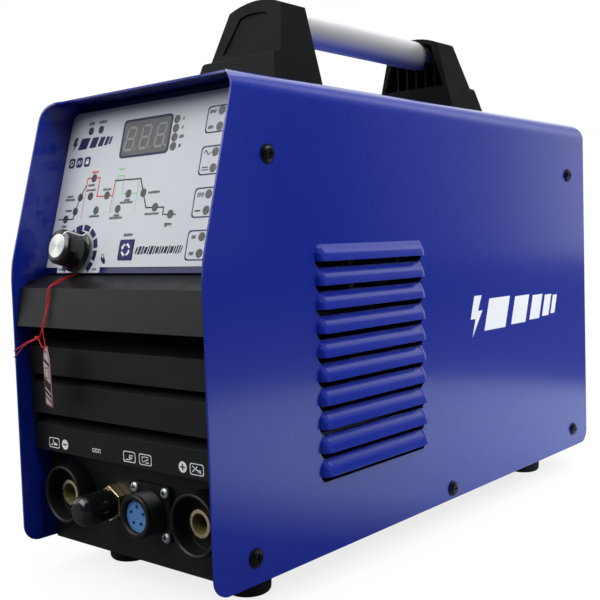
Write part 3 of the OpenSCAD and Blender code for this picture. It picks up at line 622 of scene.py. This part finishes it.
def cover():
    rows = cover_rows()
    ends = [0.08, 0.25, 0.5, 0.85, 1.3, 1.8, 2.4, 3.1, 3.9, 4.7, 5.4, 6.4]
    a, b = LOUVER_Y
    middle = [50, 66, 78, 82, a] + [a + e for e in ends] + [93, 102, 112, 124, 136.5, 149, 161, 171, 180]
    middle += [b - e for e in reversed(ends)] + [b, 191, 195, 207, 240, 280, 320, 360, 395, 412]
    verts, faces = [], []
    for x, z, t in rows:
        y0, y1 = edge_front(z), edge_back(z)
        ys = [y0, y0 + 1.2, y0 + 3.5, y0 + 8] + middle + [y1 - 6, y1 - 2.5, y1 - 1.0, y1]
        for y in ys:
            out = 0 if t in (None, "slot") else louver_height(y, t)
            verts.append((x + math.copysign(out, x), y, z - (slot_drop(y) if t == "slot" else 0)))
    width = len(ys)
    for r in range(len(rows) - 1):
        if {rows[r][2], rows[r + 1][2]} == {"slot", 0}:
            continue
        for c in range(width - 1):
            q = r * width + c
            faces.append([q, q + 1, q + width + 1, q + width])
    ob = Shape().put(case(), verts, faces).done("folded_cover", BLUE, slot="blue_coat", replaces=["cover"])
    ob.modifiers.clear()
    ob.modifiers.new("weld", "WELD").merge_threshold = 1e-5
    sheet = ob.modifiers.new("sheet", "SOLIDIFY")
    sheet.thickness = SHEET * MM
    sheet.offset = -1
    sheet.use_even_offset = False
    finish_mesh(ob, 0.28, 40, bevel_angle=60)


cover()

# ---------- CAD nodes that keep their shape ----------

dress(BLUE, 0.3, "base_tray")
dress(BLUE, 0.25, "rear_panel")
dress(PLATE_SHADE_COAT, 0.2, "control_panel_plate")
dress(SHEET_DARKENED_AS_SHADE, 0.2, "inner_chassis")
dress(FILM, 0, "panel_overlay")
dress(BLACK, 0.45, "front_bezel", segments=3)
dress(BLACK, 0.3, "negative_socket_body", "positive_socket_body", segments=3)
dress(BLACK, 0.3, "display_module")
dress(BLACK, 0.4, "socket_nuts", "power_switch", "fan_frame")
dress(BLACK, 0.5, "cable_gland", segments=3)
dress(GREY, 0.9, "handle_post_front", "handle_post_rear", segments=3, bevel_angle=40)
dress(TUBE, 0.3, "handle_tube")
dress(KEY, 0.35, "menu_key", "process_key", "current_key", "pulse_key", "trigger_key", segments=3)
dress(KNOB, 0.3, "control_knob")
dress(SPUN, 0.3, "knob_cap")
dress(LENS, 0.25, "indicator_leds")
dress(GLOSS, 0.5, "gas_cap")
dress(NYLON, 0.2, "connector_insert")
dress(ROCKER, 0.6, "power_rocker", segments=3)
dress(BRASS, 0.3, "gas_inlet")
dress(BRASS, 0.35, "gas_outlet")
dress(BRASS, 0.4, "solenoid_valve")
dress(BRIGHT, 0.15, "connector_screws")
dress(SCREW, 0.25, "cover_screws")
dress(ZINC, 0.2, "handle_bolts", "foot_screws", "potentiometer", "knob_nut", "fan_screws")
dress(ZINC, 0.25, "earth_stud")
dress(ZINC, 0.3, "knob_shaft", "solenoid_plunger")
dress(COPPER, 0.3, "output_leads")
dress(RUBBER, 0.4, "rubber_feet")
dress(RUBBER, 0, "gas_hose", "mains_cable")
dress(BOARD, 0.1, "panel_pcb", "main_board")
dress(SLEEVE, 0.8, "capacitors", segments=3)
dress(DARK_HEATSINK_SHADE, 0.2, "heatsinks")
dress(FERRITE, 0.6, "transformer_core")
dress(WINDING, 1.2, "transformer_windings", segments=3)
dress(WINDING, 0.5, "output_choke", "hf_coil")

# ---------- pieces that stand for CAD nodes ----------


def socket_contacts():
    """Brass contact of each socket: its stud, its turned tube, and the bore in shadow."""
    tube_r, bore_r, mouth_r, tip, stud_r, stud = 7.6, 4.7, 5.6, 30.5, 4, -12
    for name, x in (("negative", -SOCKET_X), ("positive", SOCKET_X)):
        at = front(x, 46, SOCKET_Z)
        s = Shape().lathe(at, [(0, stud), (stud_r, stud), (stud_r, 0), (tube_r, 0), (tube_r, tip - 0.5),
                               (tube_r - 0.2, tip - 0.1), (tube_r - 0.6, tip), (mouth_r, tip)])
        s.lathe(at, [(mouth_r, tip), (bore_r + 0.05, tip - 1.2), (bore_r, 8), (0, 8)], mat=1)
        s.done(name + "_socket_brass", [BRASS, BORE], slot="brass",
               replaces=[name + "_socket_contact"], sharp=40)


def connector():
    """Square flange with a threaded barrel, and the sleeves inside the insert's holes."""
    at = front(CONN_X, 22, CONN_Z)
    s = Shape().prism(at, plate(31, 31, 2.5), 0, 2.5)
    root, crest, pitch = 11.65, 12.0, 1.05
    thread = []
    for k in range(8):
        h = 3.9 + k * pitch
        thread += [(root, h), (crest, h + 0.3), (crest, h + 0.6), (root, h + 0.95)]
    s.lathe(at, [(8.8, -12), (10.4, -12), (10.4, 0.2), (crest, 0.3), (crest, 3.6)] + thread
            + [(11.9, 12.6), (crest, 13.9), (11.4, 14.6), (9.7, 14.6), (8.95, 13.9)], closed=True)
    s.done("connector_barrel", BLACK, slot="black_plastic", replaces=["connector_shell"],
           bevel=0.12, sharp=50)
    pins = Shape()
    for k in range(5):
        a = math.radians(90 - 72 * k)
        pin = front(CONN_X + 5 * math.sin(a), 21, CONN_Z + 5 * math.cos(a))
        pins.lathe(pin, [(0, 0), (0.95, 0), (0.95, 8.4), (0.55, 8.8), (0.45, 8.4), (0.45, 5), (0, 5)], 16)
    pins.done("connector_sleeves", BRASS, slot="brass", sharp=40)


def painted_recess_shade():
    """Dark crosses of painted shade where the bright screws' cross recesses are; head is the radius of each
    screw's head.
    """
    spread = 12.15
    places = [(front(CONN_X + x * spread, 19.5, CONN_Z + z * spread), 2.8) for x, z in CORNERS]
    places += [(back(x * FAN_CORNER, REAR_Y + 1.8, FAN_Z + z * FAN_CORNER), 4.2) for x, z in CORNERS]
    s = Shape()
    for at, head in places:
        arm, half, top = 0.58 * head, 0.16 * head, 0.6 * head
        quarter, cross = [(half, half), (arm, half), (arm, -half)], []
        for _ in range(4):
            cross += quarter
            quarter = [(y, -x) for x, y in quarter]
        # a dark cross-shaped prism on the head, painted shade in place of the recess
        s.prism(at, cross[::-1], 0.32 * head, top + 0.02)
    s.done("painted_recess_shade", SCREW, slot="black_screw", sharp=30)


def knob_pointer():
    """White line that climbs the barrel and crosses the knob's chamfer."""
    at = panel(*KNOB_AT) @ Matrix.Rotation(POINTER_TURN, 4, "Z")
    line = [(12.25, 2.5), (11.2, 3.3), (10.4, 4.4), (10.32, 13.85), (9.62, 15.2), (7.75, 15.95)]
    deep, proud, half = -0.3, 0.06, 0.38
    n = 2 * len(line)
    verts = [(x, r + dr, h + dr) for dr in (deep, proud) for r, h in line for x in (-half, half)]
    faces = [[0, 1, n + 1, n], [n - 2, 2 * n - 2, 2 * n - 1, n - 1]]
    for a in range(0, n - 2, 2):
        b = n + a
        faces += [[a, a + 2, a + 3, a + 1], [b, b + 1, b + 3, b + 2],
                  [a, b, b + 2, a + 2], [a + 1, a + 3, b + 3, b + 1]]
    s = Shape().put(at, verts, faces)
    s.done("knob_pointer_line", WHITE, "control_knob", "knob_plastic", sharp=30)


def fan_guard():
    """Finger guard of round wire: hoops, four spokes and an eye at each corner."""
    at = back(0, REAR_Y, FAN_Z)
    wire, out, eye_r, hub_r = 0.85, 0.9, 3.4, 13
    s = Shape()

    def hoop(r, segs, cx=0, cy=0):
        s.tube(at, [(x, y, out) for x, y in circle(r, segs, cx, cy)], wire, 10, closed=True)

    for r in range(14, 55, 8):
        hoop(r, 72)
    k0, k1 = hub_r / math.sqrt(2), FAN_CORNER - 3.2 / math.sqrt(2)
    for x, y in CORNERS:
        s.tube(at, [(x * k0, y * k0, out), (x * k1, y * k1, out)], wire * 0.95, 10)
        hoop(eye_r, 24, x * FAN_CORNER, y * FAN_CORNER)
    s.done("wire_guard", ZINC, slot="zinc_steel", replaces=["fan_guard"], sharp=50)


def fan_blade(turn, half, rows=12, cols=9):
    """Verts and faces of one cambered blade, whose pitch falls and chord grows towards the tip."""
    verts, faces = [], []
    root, tip = 18.3, 55.0
    for skin in (-1, 1):
        for i in range(rows + 1):
            f = i / rows
            r = root + (tip - root) * f
            chord, pitch = 19 + 9 * f, math.radians(44 - 14 * f)
            for j in range(cols + 1):
                c = j / cols - 0.5
                along = c * chord
                lift = 2.2 * (1 - 4 * c * c) + skin * 0.75 * (1 - 3.2 * c * c)
                u = along * math.cos(pitch) + lift * math.sin(pitch)
                w = along * math.sin(pitch) - lift * math.cos(pitch)
                a = turn + u / r + 0.22 * f
                verts.append((r * math.cos(a), r * math.sin(a), max(-half + 0.6, min(half - 0.6, w))))
    wide = cols + 1
    n = (rows + 1) * wide
    for i in range(rows):
        for j in range(cols):
            q = i * wide + j
            faces.append([q, q + 1, q + wide + 1, q + wide])
            faces.append([n + q, n + q + wide, n + q + wide + 1, n + q + 1])
    starts = range(0, n, wide)
    rim = list(range(cols)) + [q + cols for q in starts]
    rim += list(range(starts[-1] + cols - 1, starts[-1], -1)) + list(reversed(starts[1:]))
    faces += [[b, a, n + a, n + b] for a, b in zip(rim, rim[1:] + rim[:1])]
    return verts, faces


def fan_rotor():
    """Hub with seven blades."""
    y0, y1 = 397.9, 418.3
    half = (y1 - y0) / 2
    at = front(0, (y0 + y1) / 2, FAN_Z)
    hub_r, blades = 19, 7
    s = Shape()
    s.lathe(at, [(0, 0.4 - half), (4, -half), (hub_r - 1.4, -half), (hub_r, 1.4 - half), (hub_r, half),
                 (hub_r - 1.8, half), (hub_r - 1.8, 3 - half), (0, 3 - half)])
    s.lathe(at, [(0, 2 - half), (1.5, 2 - half), (1.5, half + 1.2), (0, half + 1.2)], 24)
    for k in range(blades):
        s.put(at, *fan_blade(2 * math.pi * k / blades, half))
    s.done("fan_blades", BLACK, "fan_rotor", "black_plastic", ["fan_rotor"], sharp=45)


# ---------- hang tag ----------

# the cord's two strands join, and part again to the knot and to the eye of the card
CORD_R = 0.36
JOIN, KNOT, EYE = (-49.3, -1.4, 129.0), (-54.6, -1.5, 122.8), (-46.9, -1.6, 118.0)


def lay(points, phase, turns, spread):
    """One strand of a twisted pair that follows points."""
    path = curve(points, 10)
    n = len(path) - 1
    out = []
    for i, p in enumerate(path):
        t = (path[min(i + 1, n)] - path[max(i - 1, 0)]).normalized()
        u = t.cross(Vector((0, 1, 0.2))).normalized()
        w = t.cross(u)
        a = phase + turns * 2 * math.pi * i / n
        out.append(p + spread * (math.cos(a) * u + math.sin(a) * w))
    return out


def red_cord():
    """Cord from under the knob to a knot and the card's eye, with two loose ends."""
    at = case()
    down = [(-47.6, 22.2, 158.3), (-47.8, 13, 155.5), (-48, 6, 152.9), (-48.2, 3.4, 150.6),
            (-48.5, 2.2, 143), (-48.9, 0.4, 134.5), JOIN]
    strands = [
        [JOIN, (-50.6, -1.5, 126), (-52.6, -1.6, 123.6), KNOT],
        [JOIN, (-48.4, -1.6, 125.6), (-47.4, -1.7, 121.4), EYE],
        [KNOT, (-52.2, -1.9, 122.3), (-50.9, -2.1, 120.4), (-49.2, -2.1, 118.4), EYE],
        [KNOT, (-60, -1.6, 121.6), (-67, -1.6, 119.4), (-73, -1.5, 116.8), (-78.4, -1.5, 114.6)],
        [KNOT, (-60.5, -1.9, 120.8), (-67.5, -1.8, 118.0), (-72.5, -1.7, 114.6), (-78.2, -1.6, 110.8)],
    ]
    s = Shape()
    for phase in (0, math.pi):
        s.tube(at, lay(down, phase, 1.35, 0.55), CORD_R)
    for points in strands:
        s.tube(at, curve(points), CORD_R)
    x, y, z = KNOT
    s.tube(at, [(x + 1.3 - 2.4 * k / 30, y + 0.9 * math.cos(k * 0.62), z + 0.95 * math.sin(k * 0.62) + 0.2)
                for k in range(31)], 0.42)
    x, y, z = EYE
    turns = [k * math.pi / 8 for k in range(16)]
    s.tube(at, [(x + 1.2 * math.sin(t), y + 0.9 * math.cos(t), z - 0.9 + 1.3 * math.cos(t)) for t in turns],
           CORD_R, closed=True)
    s.done("red_cord", CORD, replaces=["hang_tag"], sharp=60)


def hanging_card():
    """Card on the cord's eye: a border, an empty box and slanted bars on both faces."""
    at = case(EYE[0], EYE[1], EYE[2] - 0.6)
    for degrees, axis in ((-20, "Z"), (90, "X"), (5, "Z")):
        at = at @ Matrix.Rotation(math.radians(degrees), 4, axis)
    corners = [(-2.4, 1.4), (2.4, 1.4), (6.6, -6.5), (6.6, -33), (-6.6, -31.6), (-6.6, -6.5)]
    outline = rounded(corners, 0.7, 3)
    inner = rounded([(x * 0.86, -15 + (y + 15) * 0.94) for x, y in corners], 0.6, 3)
    Shape().prism(at, outline, -0.2, 0.2).done("tag_card", CARD, sharp=30)
    border, bars = Shape(), Shape()
    half, slant = 5.7, 1.9
    for z0, z1 in ((0.15, 0.26), (-0.26, -0.15)):
        border.frame(at, outline, inner, z0, z1)
        border.frame(at, plate(7.4, 6.4, 0.6, 0, -13.5), plate(5.8, 4.8, 0.5, 0, -13.5), z0, z1)
        for y, h in ((-7.6, 2.0), (-20.4, 5.0), (-25.2, 2.0), (-28.2, 1.4)):
            bars.prism(at, [(-half, y - h / 2 + slant), (half, y - h / 2 - slant),
                            (half, y + h / 2 - slant), (-half, y + h / 2 + slant)], z0, z1)
    border.done("tag_border", CARD_EDGE, sharp=30)
    bars.done("tag_bars", CARD_BAR, sharp=30)


socket_contacts()
connector()
painted_recess_shade()
knob_pointer()
fan_guard()
fan_rotor()
red_cord()
hanging_card()

# ---------- printing ----------

PROUD = 0.05


def line_between(p, q, w):
    p, q = Vector(p), Vector(q)
    d = (q - p).normalized() * w / 2
    n = Vector((-d.y, d.x))
    return [tuple(v) for v in (p - d - n, q + d - n, q + d + n, p - d + n)]


class Print:
    """One colour of ink on one surface."""

    def __init__(self, at, top=PROUD):
        self.s, self.at, self.top = Shape(), at, top

    def area(self, outline):
        self.s.prism(self.at, outline, -PROUD, self.top)

    def path(self, points, w):
        for p, q in zip(points, points[1:]):
            self.area(line_between(p, q, w))

    def dashed(self, p, q, w, dash=1.2, space=0.9):
        p, q = Vector(p), Vector(q)
        length, at = (q - p).length, 0.0
        d = (q - p).normalized()
        while at < length:
            self.area(line_between(p + d * at, p + d * min(length, at + dash), w))
            at += dash + space

    def outline(self, outer, width):
        middle = [sum(values) / len(outer) for values in zip(*outer)]
        inner = [[v - math.copysign(width, v - m) for v, m in zip(p, middle)] for p in outer]
        self.s.frame(self.at, outer, inner, -PROUD, self.top)

    def ring(self, cx, cy, r0, r1, a0=0.0, a1=360.0, steps=24):
        for k in range(steps):
            a, b = (math.radians(a0 + (a1 - a0) * j / steps) for j in (k, k + 1))
            self.area([(cx + r * math.cos(t), cy + r * math.sin(t))
                       for r, t in ((r0, a), (r1, a), (r1, b), (r0, b))])

    def greek(self, cx, cy, w, h, seed, slant=0.15):
        """A row of small bars that stands for a word without spelling one."""
        rnd = random.Random(seed)
        x = cx - w / 2
        while x < cx + w / 2 - 0.3:
            bar = min(rnd.choice((0.35, 0.5, 0.75)) * h / 1.6, cx + w / 2 - x)
            self.area(rect(x + bar / 2, cy, bar, h * rnd.choice((0.8, 1.0, 1.0)), slant))
            x += bar + 0.26 * h / 1.6

    def done(self, name, mat, body="chassis"):
        self.s.done(name, mat, body, "overlay_film", sharp=30)


def motif(target, cx, cy, h, w):
    """Generic mark: a bolt, and speed bars that get thinner."""
    bolt = [(-0.1, 1.0), (0.62, 1.0), (0.22, 0.25), (0.66, 0.25),
            (-0.34, -1.0), (-0.02, -0.12), (-0.48, -0.12)]
    k = h / 2
    left = cx - w / 2
    target.area([(left + 0.5 * h + x * k, cy + y * k) for x, y in reversed(bolt)])
    bars = (0.3, 0.22, 0.16, 0.11, 0.07)
    x = left + 1.05 * h
    room = w - 1.05 * h
    for i, share in enumerate(bars):
        step = room * share / sum(bars)
        bar = step * 0.78
        target.area(rect(x + bar / 2, cy, bar, h * (0.78 - 0.07 * i), 0.35))
        x += step


navy, dark, red, green = (Print(panel()) for _ in range(4))
white = Print(panel(), PROUD + 0.04)


def top_marks():
    """Labels of the status lamps, the motif, three icons, and unit marks beside the display."""
    dark.greek(-58.6, 88.3, 5.4, 1.9, 1)
    dark.greek(-48.2, 88.4, 7.4, 1.9, 2)
    motif(navy, -56.5, 76.0, 9.0, 40.0)
    v = 64.4
    for x in (-71.5, -64.2, -56.7):
        navy.area(plate(5.7, 6.2, 1.5, x, v))
    white.ring(-71.5, v, 1.1, 1.6)
    white.path([(-66.0, 63.2), (-64.9, 65.6), (-63.6, 63.2), (-62.5, 65.6)], 0.5)
    white.area(rect(-56.7, 64.0, 2.6, 2.0))
    white.ring(-56.7, 65.0, 0.7, 1.2, 0, 180, 8)
    for i, (x, w) in enumerate(((23.0, 1.8), (23.3, 3.6), (23.0, 1.3), (23.0, 1.8))):
        dark.greek(x, 67.2 + 5.2 * i, w, 2.0, 20 + i)


def mode_boxes():
    """Boxes round the mode lamps, open to the right, with a symbol beside each lamp."""
    for v0, v1 in ((71.9, 87.1), (48.8, 64.9), (25.8, 42.2), (3.0, 19.3)):
        navy.outline(rounded([(41, v0), (77.5, v0), (77.5, v1), (41, v1)], [2.2, 0, 0, 2.2]), 0.75)
    trigger, pulse, current, process = MODE_V
    dark.greek(45.8, trigger - 4.4, 3.6, 1.9, 11)
    dark.greek(45.8, trigger + 4.4, 3.6, 1.9, 12)
    dark.area(rect(45.3, pulse - 4.4, 4.2, 0.8))
    for k in range(3):
        x0, x1, foot, top = 43.6 + 1.7 * k, 44.5 + 1.7 * k, pulse + 3.2, pulse + 5.2
        dark.path([(x0, foot), (x0, top), (x1, top), (x1, foot)], 0.4)
    dark.area(rect(45.6, current - 3.7, 4.4, 0.6))
    dark.dashed((43.4, current - 5.1), (48.0, current - 5.1), 0.6)
    dark.path([(43.4 + 0.3 * k, current + 4.4 + 1.2 * math.sin(k * 0.42)) for k in range(16)], 0.55)
    dark.greek(45.4, process - 4.4, 4.4, 1.9, 13)
    dark.greek(45.4, process + 4.4, 5.2, 1.9, 14)


def weld_cycle():
    """Diagram of the weld cycle, with a label beside each lamp."""
    dark.path([(-74.6, 29.5), (-60.7, 29.3), (-59.8, 34), (-57.2, 42.4), (-53.6, 49.2)], 0.75)
    red.path([(-53.1, 49.2), (-53.1, 53.8), (-41.6, 53.5), (-41.7, 42.2), (-27.2, 41.8), (-26.8, 50.7)], 0.75)
    dark.path([(-27.2, 50.8), (-4.7, 50.5), (-0.6, 42.1), (3.7, 33.3), (18.3, 33), (18.5, 28.9)], 0.8)
    dark.path([(19.6, 28.8), (28.6, 28.5)], 0.75)
    green.path([(-25.6, 50.4), (-25.6, 53.4), (-19.6, 53.4), (-19.3, 42.6), (-5.8, 42.3), (-5.8, 49.3)], 0.55)
    for layer, x, top, foot in ((red, -53, 48.6, 29.4), (red, -27.2, 41.2, 32.2),
                                (green, -25.6, 50, 31.4), (green, -5.8, 42, 31.4)):
        layer.dashed((x, top), (x, foot), 0.45)
    red.greek(-46.6, 57.2, 6.6, 1.3, 30)
    green.greek(-22.6, 57.4, 5.4, 1.2, 31)
    labels = [(-67.0, 43.4, 6.0), (-66.8, 41.4, 9.0), (-66.2, 34.6, 6.2), (-48.4, 49.4, 6.4),
              (-48.2, 46.4, 8.2), (-33.0, 45.9, 7.2), (-40.8, 30.3, 9.4), (-20.8, 29.9, 5.2),
              (-20.9, 28.5, 11.2), (-13.6, 38.6, 5.2), (-13.8, 37.2, 11.4), (8.4, 41.9, 9.8),
              (9.4, 29.6, 11.6), (-68.2, 25.0, 4.4), (24.2, 23.2, 6.0)]
    for i, (x, v, w) in enumerate(labels):
        dark.greek(x, v, w, 1.4, 40 + i, 0.1)
    dark.ring(22.4, 22.9, 0.9, 1.3)


def low_marks():
    """Menu key's label, a press-here finger, a plain bar for a name, and the dial round the knob."""
    dark.greek(-7.2, 18.2, 7.6, 2.0, 60)
    dark.ring(-26.6, 6.4, 0.8, 1.25)
    dark.area([(-28.0, 5.8), (-27.9, 4.8), (-26.8, 3.2), (-24.8, 1.8), (-23.4, 2.2), (-23.7, 3.8),
               (-24.9, 5.7), (-26.4, 4.9)])
    dark.greek(19.6, 9.2, 37.0, 4.6, 64, 0.3)
    half = math.radians(11.2)
    for k in range(10):
        a = math.radians(90 - (-126.9 + 28.2 * k))
        navy.area([(KNOB_AT[0] + r * math.cos(t), KNOB_AT[1] + 0.2 + r * math.sin(t))
                   for r, turns in ((12.9, (a + half, a, a - half)), (16.4, (a - half, a, a + half)))
                   for t in turns])
    dark.greek(-63.4, -1.2, 3.6, 1.3, 70)
    dark.greek(-32.2, -1.2, 3.6, 1.3, 71)


def strip_marks():
    """White marks above the sockets: poles, gas, torch and earth clamp."""
    p = Print(front(0, 10, 0))
    z = 60.6
    for x, sign in ((-49.2, "minus"), (49.6, "plus")):
        p.area(circle(2.95, 32, x, z))
        bars = Print(front(0, 10, 0), PROUD + 0.05)
        bars.area(rect(x, z, 3.4, 0.8))
        if sign == "plus":
            bars.area(rect(x, z, 0.8, 3.4))
        bars.done("pole_sign_" + sign, BLACK)
    for x in (-59.5, 7.8, 20.7, 59.9):
        p.outline(plate(10.0, 6.0, 1.3, x, z), 0.45)
    for points, width in (([(-62.6, 59.3), (-61.4, 59.3), (-60.2, 62.2)], 0.5),
                          ([(5.0, 59.0), (7.8, 59.0), (7.8, 61.4), (10.6, 61.4)], 0.5),
                          ([(18.2, 59.0), (18.2, 62.0), (23.2, 62.0)], 0.4),
                          ([(19.2, 59.4), (22.9, 60.9)], 0.5),
                          ([(56.8, 59.2), (60.2, 62.0)], 0.5),
                          ([(57.0, 61.9), (62.6, 59.0)], 0.55)):
        p.path(points, width)
    for outline in ([(-60.2, 59.2), (-56.6, 59.2), (-57.2, 60.4), (-59.4, 60.9)],
                    [(8.6, 59.0), (10.4, 60.0), (8.6, 60.6)],
                    [(20.2, 58.8), (23.4, 58.8), (23.4, 59.7)],
                    [(60.4, 59.2), (63.0, 59.4), (62.6, 60.6), (60.8, 60.5)]):
        p.area(outline)
    for dx in (-2.6, 0.0, 2.6):
        p.outline(plate(1.9, 2.2, 0.4, -20.4 + dx, z), 0.35)
    p.done("strip_marks", WHITE)


def side_motif():
    for sign, name in ((1, "right"), (-1, "left")):
        p = Print(side(sign))
        motif(p, sign * 311, 118, 28.0, 140.0)
        p.done(name + "_motif", WHITE)


def key_marks():
    """A ring of arrows on the menu key, and a small pair of arrows on each mode key."""
    p = Print(panel(-7, 9.7, 0.5))
    for k in range(4):
        start = 90 * k + 18
        p.ring(0, 0, 2.5, 3.7, start, start + 46, 6)
        a, tip = math.radians(start + 46), math.radians(start + 74)
        p.area([(r * math.cos(t), r * math.sin(t)) for r, t in ((2.0, a), (4.3, a), (3.1, tip))])
    p.done("menu_key_mark", WHITE, "menu_key")
    for key, v in zip(("trigger_key", "pulse_key", "current_key", "process_key"), MODE_V):
        p = Print(panel(66, v, 0.5))
        p.area([(-1.6, 0.7), (1.6, 0.7), (0, 2.6)])
        p.area([(0, -2.6), (1.6, -0.7), (-1.6, -0.7)])
        p.done(key + "_mark", WHITE, key)


top_marks()
mode_boxes()
weld_cycle()
low_marks()
for layer, name, mat in ((navy, "navy_print", NAVY), (dark, "dark_print", DARK), (red, "red_print", RED),
                         (green, "green_print", GREEN), (white, "white_icons", WHITE)):
    layer.done(name, mat)
strip_marks()
side_motif()
key_marks()

# ---------- display ----------


def segment(cx, cy, length, upright, thick=1.35, slant=0.13):
    """Outline of one bar of a digit."""
    k, e = length / 2, thick / 2
    pts = [(-k, 0), (-k + e, -e), (k - e, -e), (k, 0), (k - e, e), (-k + e, e)]
    if upright:
        pts = [(-y, x) for x, y in pts]
    return [(cx + x + slant * (cy + y), cy + y) for x, y in pts]


def display():
    """Navy frame round a smoked window with three unlit digits."""
    at = panel(*WINDOW_AT)
    s = Shape().frame(at, plate(41.8, 23.0, 2.8), plate(39.2, 20.4, 1.8), -0.2, 0.12, 1)
    s.prism(at, plate(40.0, 21.2, 2.0), -0.2, 0.06)
    h, w, top = 13.2, 7.0, 0.085
    for i in range(3):
        cx = -13.0 + 12.8 * i
        bars = [(0, v, w, False) for v in (h / 2, 0, -h / 2)]
        bars += [(x, v, h / 2, True) for v in (h / 4, -h / 4) for x in (-w / 2, w / 2)]
        for x, v, length, upright in bars:
            s.prism(at, segment(cx + x, v - 0.2, length - 0.35, upright), 0.0, top, 2)
        s.prism(at, circle(0.7, 12, cx + w / 2 + 1.5, -h / 2 - 0.1), 0.0, top, 2)
    s.done("display_window", [WINDOW, NAVY, GHOST], slot="led_lens", sharp=30)


display()

# ---------- studio ----------

scene = bpy.context.scene
PURE_WHITE = (1, 1, 1, 1)


def area_light(name, at, size, power):
    """Soft light aimed at the middle of the machine; place and size are in metres."""
    data = bpy.data.lights.new(name, "AREA")
    data.shape = "RECTANGLE"
    data.size, data.size_y = size
    data.energy = power
    ob = bpy.data.objects.new(name, data)
    scene.collection.objects.link(ob)
    ob.location = at
    ob.rotation_euler = (Vector((0, 0, 0.14)) - Vector(at)).to_track_quat("-Z", "Y").to_euler()
    ob.visible_camera = False
    return ob


area_light("front_soft", (-0.36, -1.13, 1.2), (1.3, 1.2), 21)
area_light("left_gleam", (-1.7, -1.15, 0.75), (1.3, 1.1), 2).visible_diffuse = False
area_light("right_soft", (1.5, -0.05, 1.35), (1.2, 1.0), 30).visible_glossy = False
area_light("top_soft", (0.1, 0.15, 1.6), (1.4, 1.4), 14)
area_light("rear_soft", (0.5, 1.7, 1.1), (1.4, 1.0), 12).visible_glossy = False


def studio_walls():
    """White to the camera. To the rest a pale wall behind the machine that fades towards the right."""
    world = bpy.data.worlds.new("studio")
    scene.world = world
    n = Tree(world)
    x, y, z = n.new("ShaderNodeSeparateXYZ", Vector=n.new("ShaderNodeTexCoord").outputs["Generated"]).outputs
    turn = n.maths("ARCTAN2", x, y)

    def fade(value, low, high, a, b):
        return n.ramp(value, low, high, a, b, "SMOOTHSTEP")

    def product(*values):
        out = values[0]
        for value in values[1:]:
            out = n.maths("MULTIPLY", out, value)
        return out

    wall = product(fade(turn, 1.75, 0.3, 0.36, 0.53), fade(n.maths("ABSOLUTE", turn), 0.5, 1.0, 0.1, 0.3),
                   fade(turn, 1.0, 0.02, 0.57, 0.68), fade(turn, 0.03, 0.62, -2.8, -1.6))
    side_glow = product(fade(turn, 0.0, 0.25, 0.7, 0.82), fade(turn, 1.0, 0.1, 1.2, 1.7))
    glow = product(n.maths("ADD", wall, side_glow), fade(z, 1.0, 0.35, 0.5, 0.95))
    rest = n.tree.nodes["Background"]
    n.feed(rest.inputs["Color"], (0.93, 0.96, 1.0, 1))
    n.feed(rest.inputs["Strength"], glow)
    n.camera_sees(n.new("ShaderNodeBackground", Color=PURE_WHITE), rest, "World Output")


def studio_floor():
    """A pale table: white to the camera, with a pool of light painted into its colour beside the machine,
    seen in its reflections.
    """
    me = bpy.data.meshes.new("floor")
    r = 6.0
    me.from_pydata([(-r, -r, 0), (r, -r, 0), (r, r, 0), (-r, r, 0)], [], [(0, 1, 2, 3)])
    ob = bpy.data.objects.new("floor", me)
    scene.collection.objects.link(ob)
    n = Nodes("floor")
    # painted light: the floor's colour is bright beside the machine and dark further off
    beside = n.maths("DISTANCE", n.coords, (0.27, 0.25, 0), kind=VECTOR)
    painted_pool = n.ramp(beside, 0, 1, 0.25, 0.37)
    n.set(Base_Color=n.mix(painted_pool, (0.6, 0.68, 0.78), (0.06, 0.06, 0.07)), Roughness=0.7)
    away = n.maths("LENGTH", n.coords, kind=VECTOR)
    shaded = n.new("ShaderNodeBsdfDiffuse", Color=(0.9, 0.9, 0.9, 1))
    glow = n.new("ShaderNodeEmission", Color=PURE_WHITE)
    shown = n.mix_shaders(n.ramp(away, 0.8, 1.0, 0.18, 0.34), shaded, glow)
    n.camera_sees(shown, n.shader, "Material Output")
    me.materials.append(n.mat)


def camera():
    """Looks at the front and right side; at is in case millimetres, the angles are in radians."""
    at, lens = (403.64, -312.11, 173.81), 56.79
    yaw, pitch, roll = 0.70213, 0.06345, -0.03205
    data = bpy.data.cameras.new("camera")
    data.sensor_width, data.lens = 36.0, lens
    data.clip_start, data.clip_end = 0.05, 30
    ob = bpy.data.objects.new("camera", data)
    scene.collection.objects.link(ob)
    ob.matrix_world = Matrix.Translation(ORIGIN + Vector(at) * MM)
    for angle, axis in ((yaw, "Z"), (math.pi / 2 - pitch, "X"), (roll, "Z")):
        ob.matrix_world @= Matrix.Rotation(angle, 4, axis)
    scene.camera = ob


studio_walls()
studio_floor()
camera()
scene.view_settings.view_transform = "Standard"
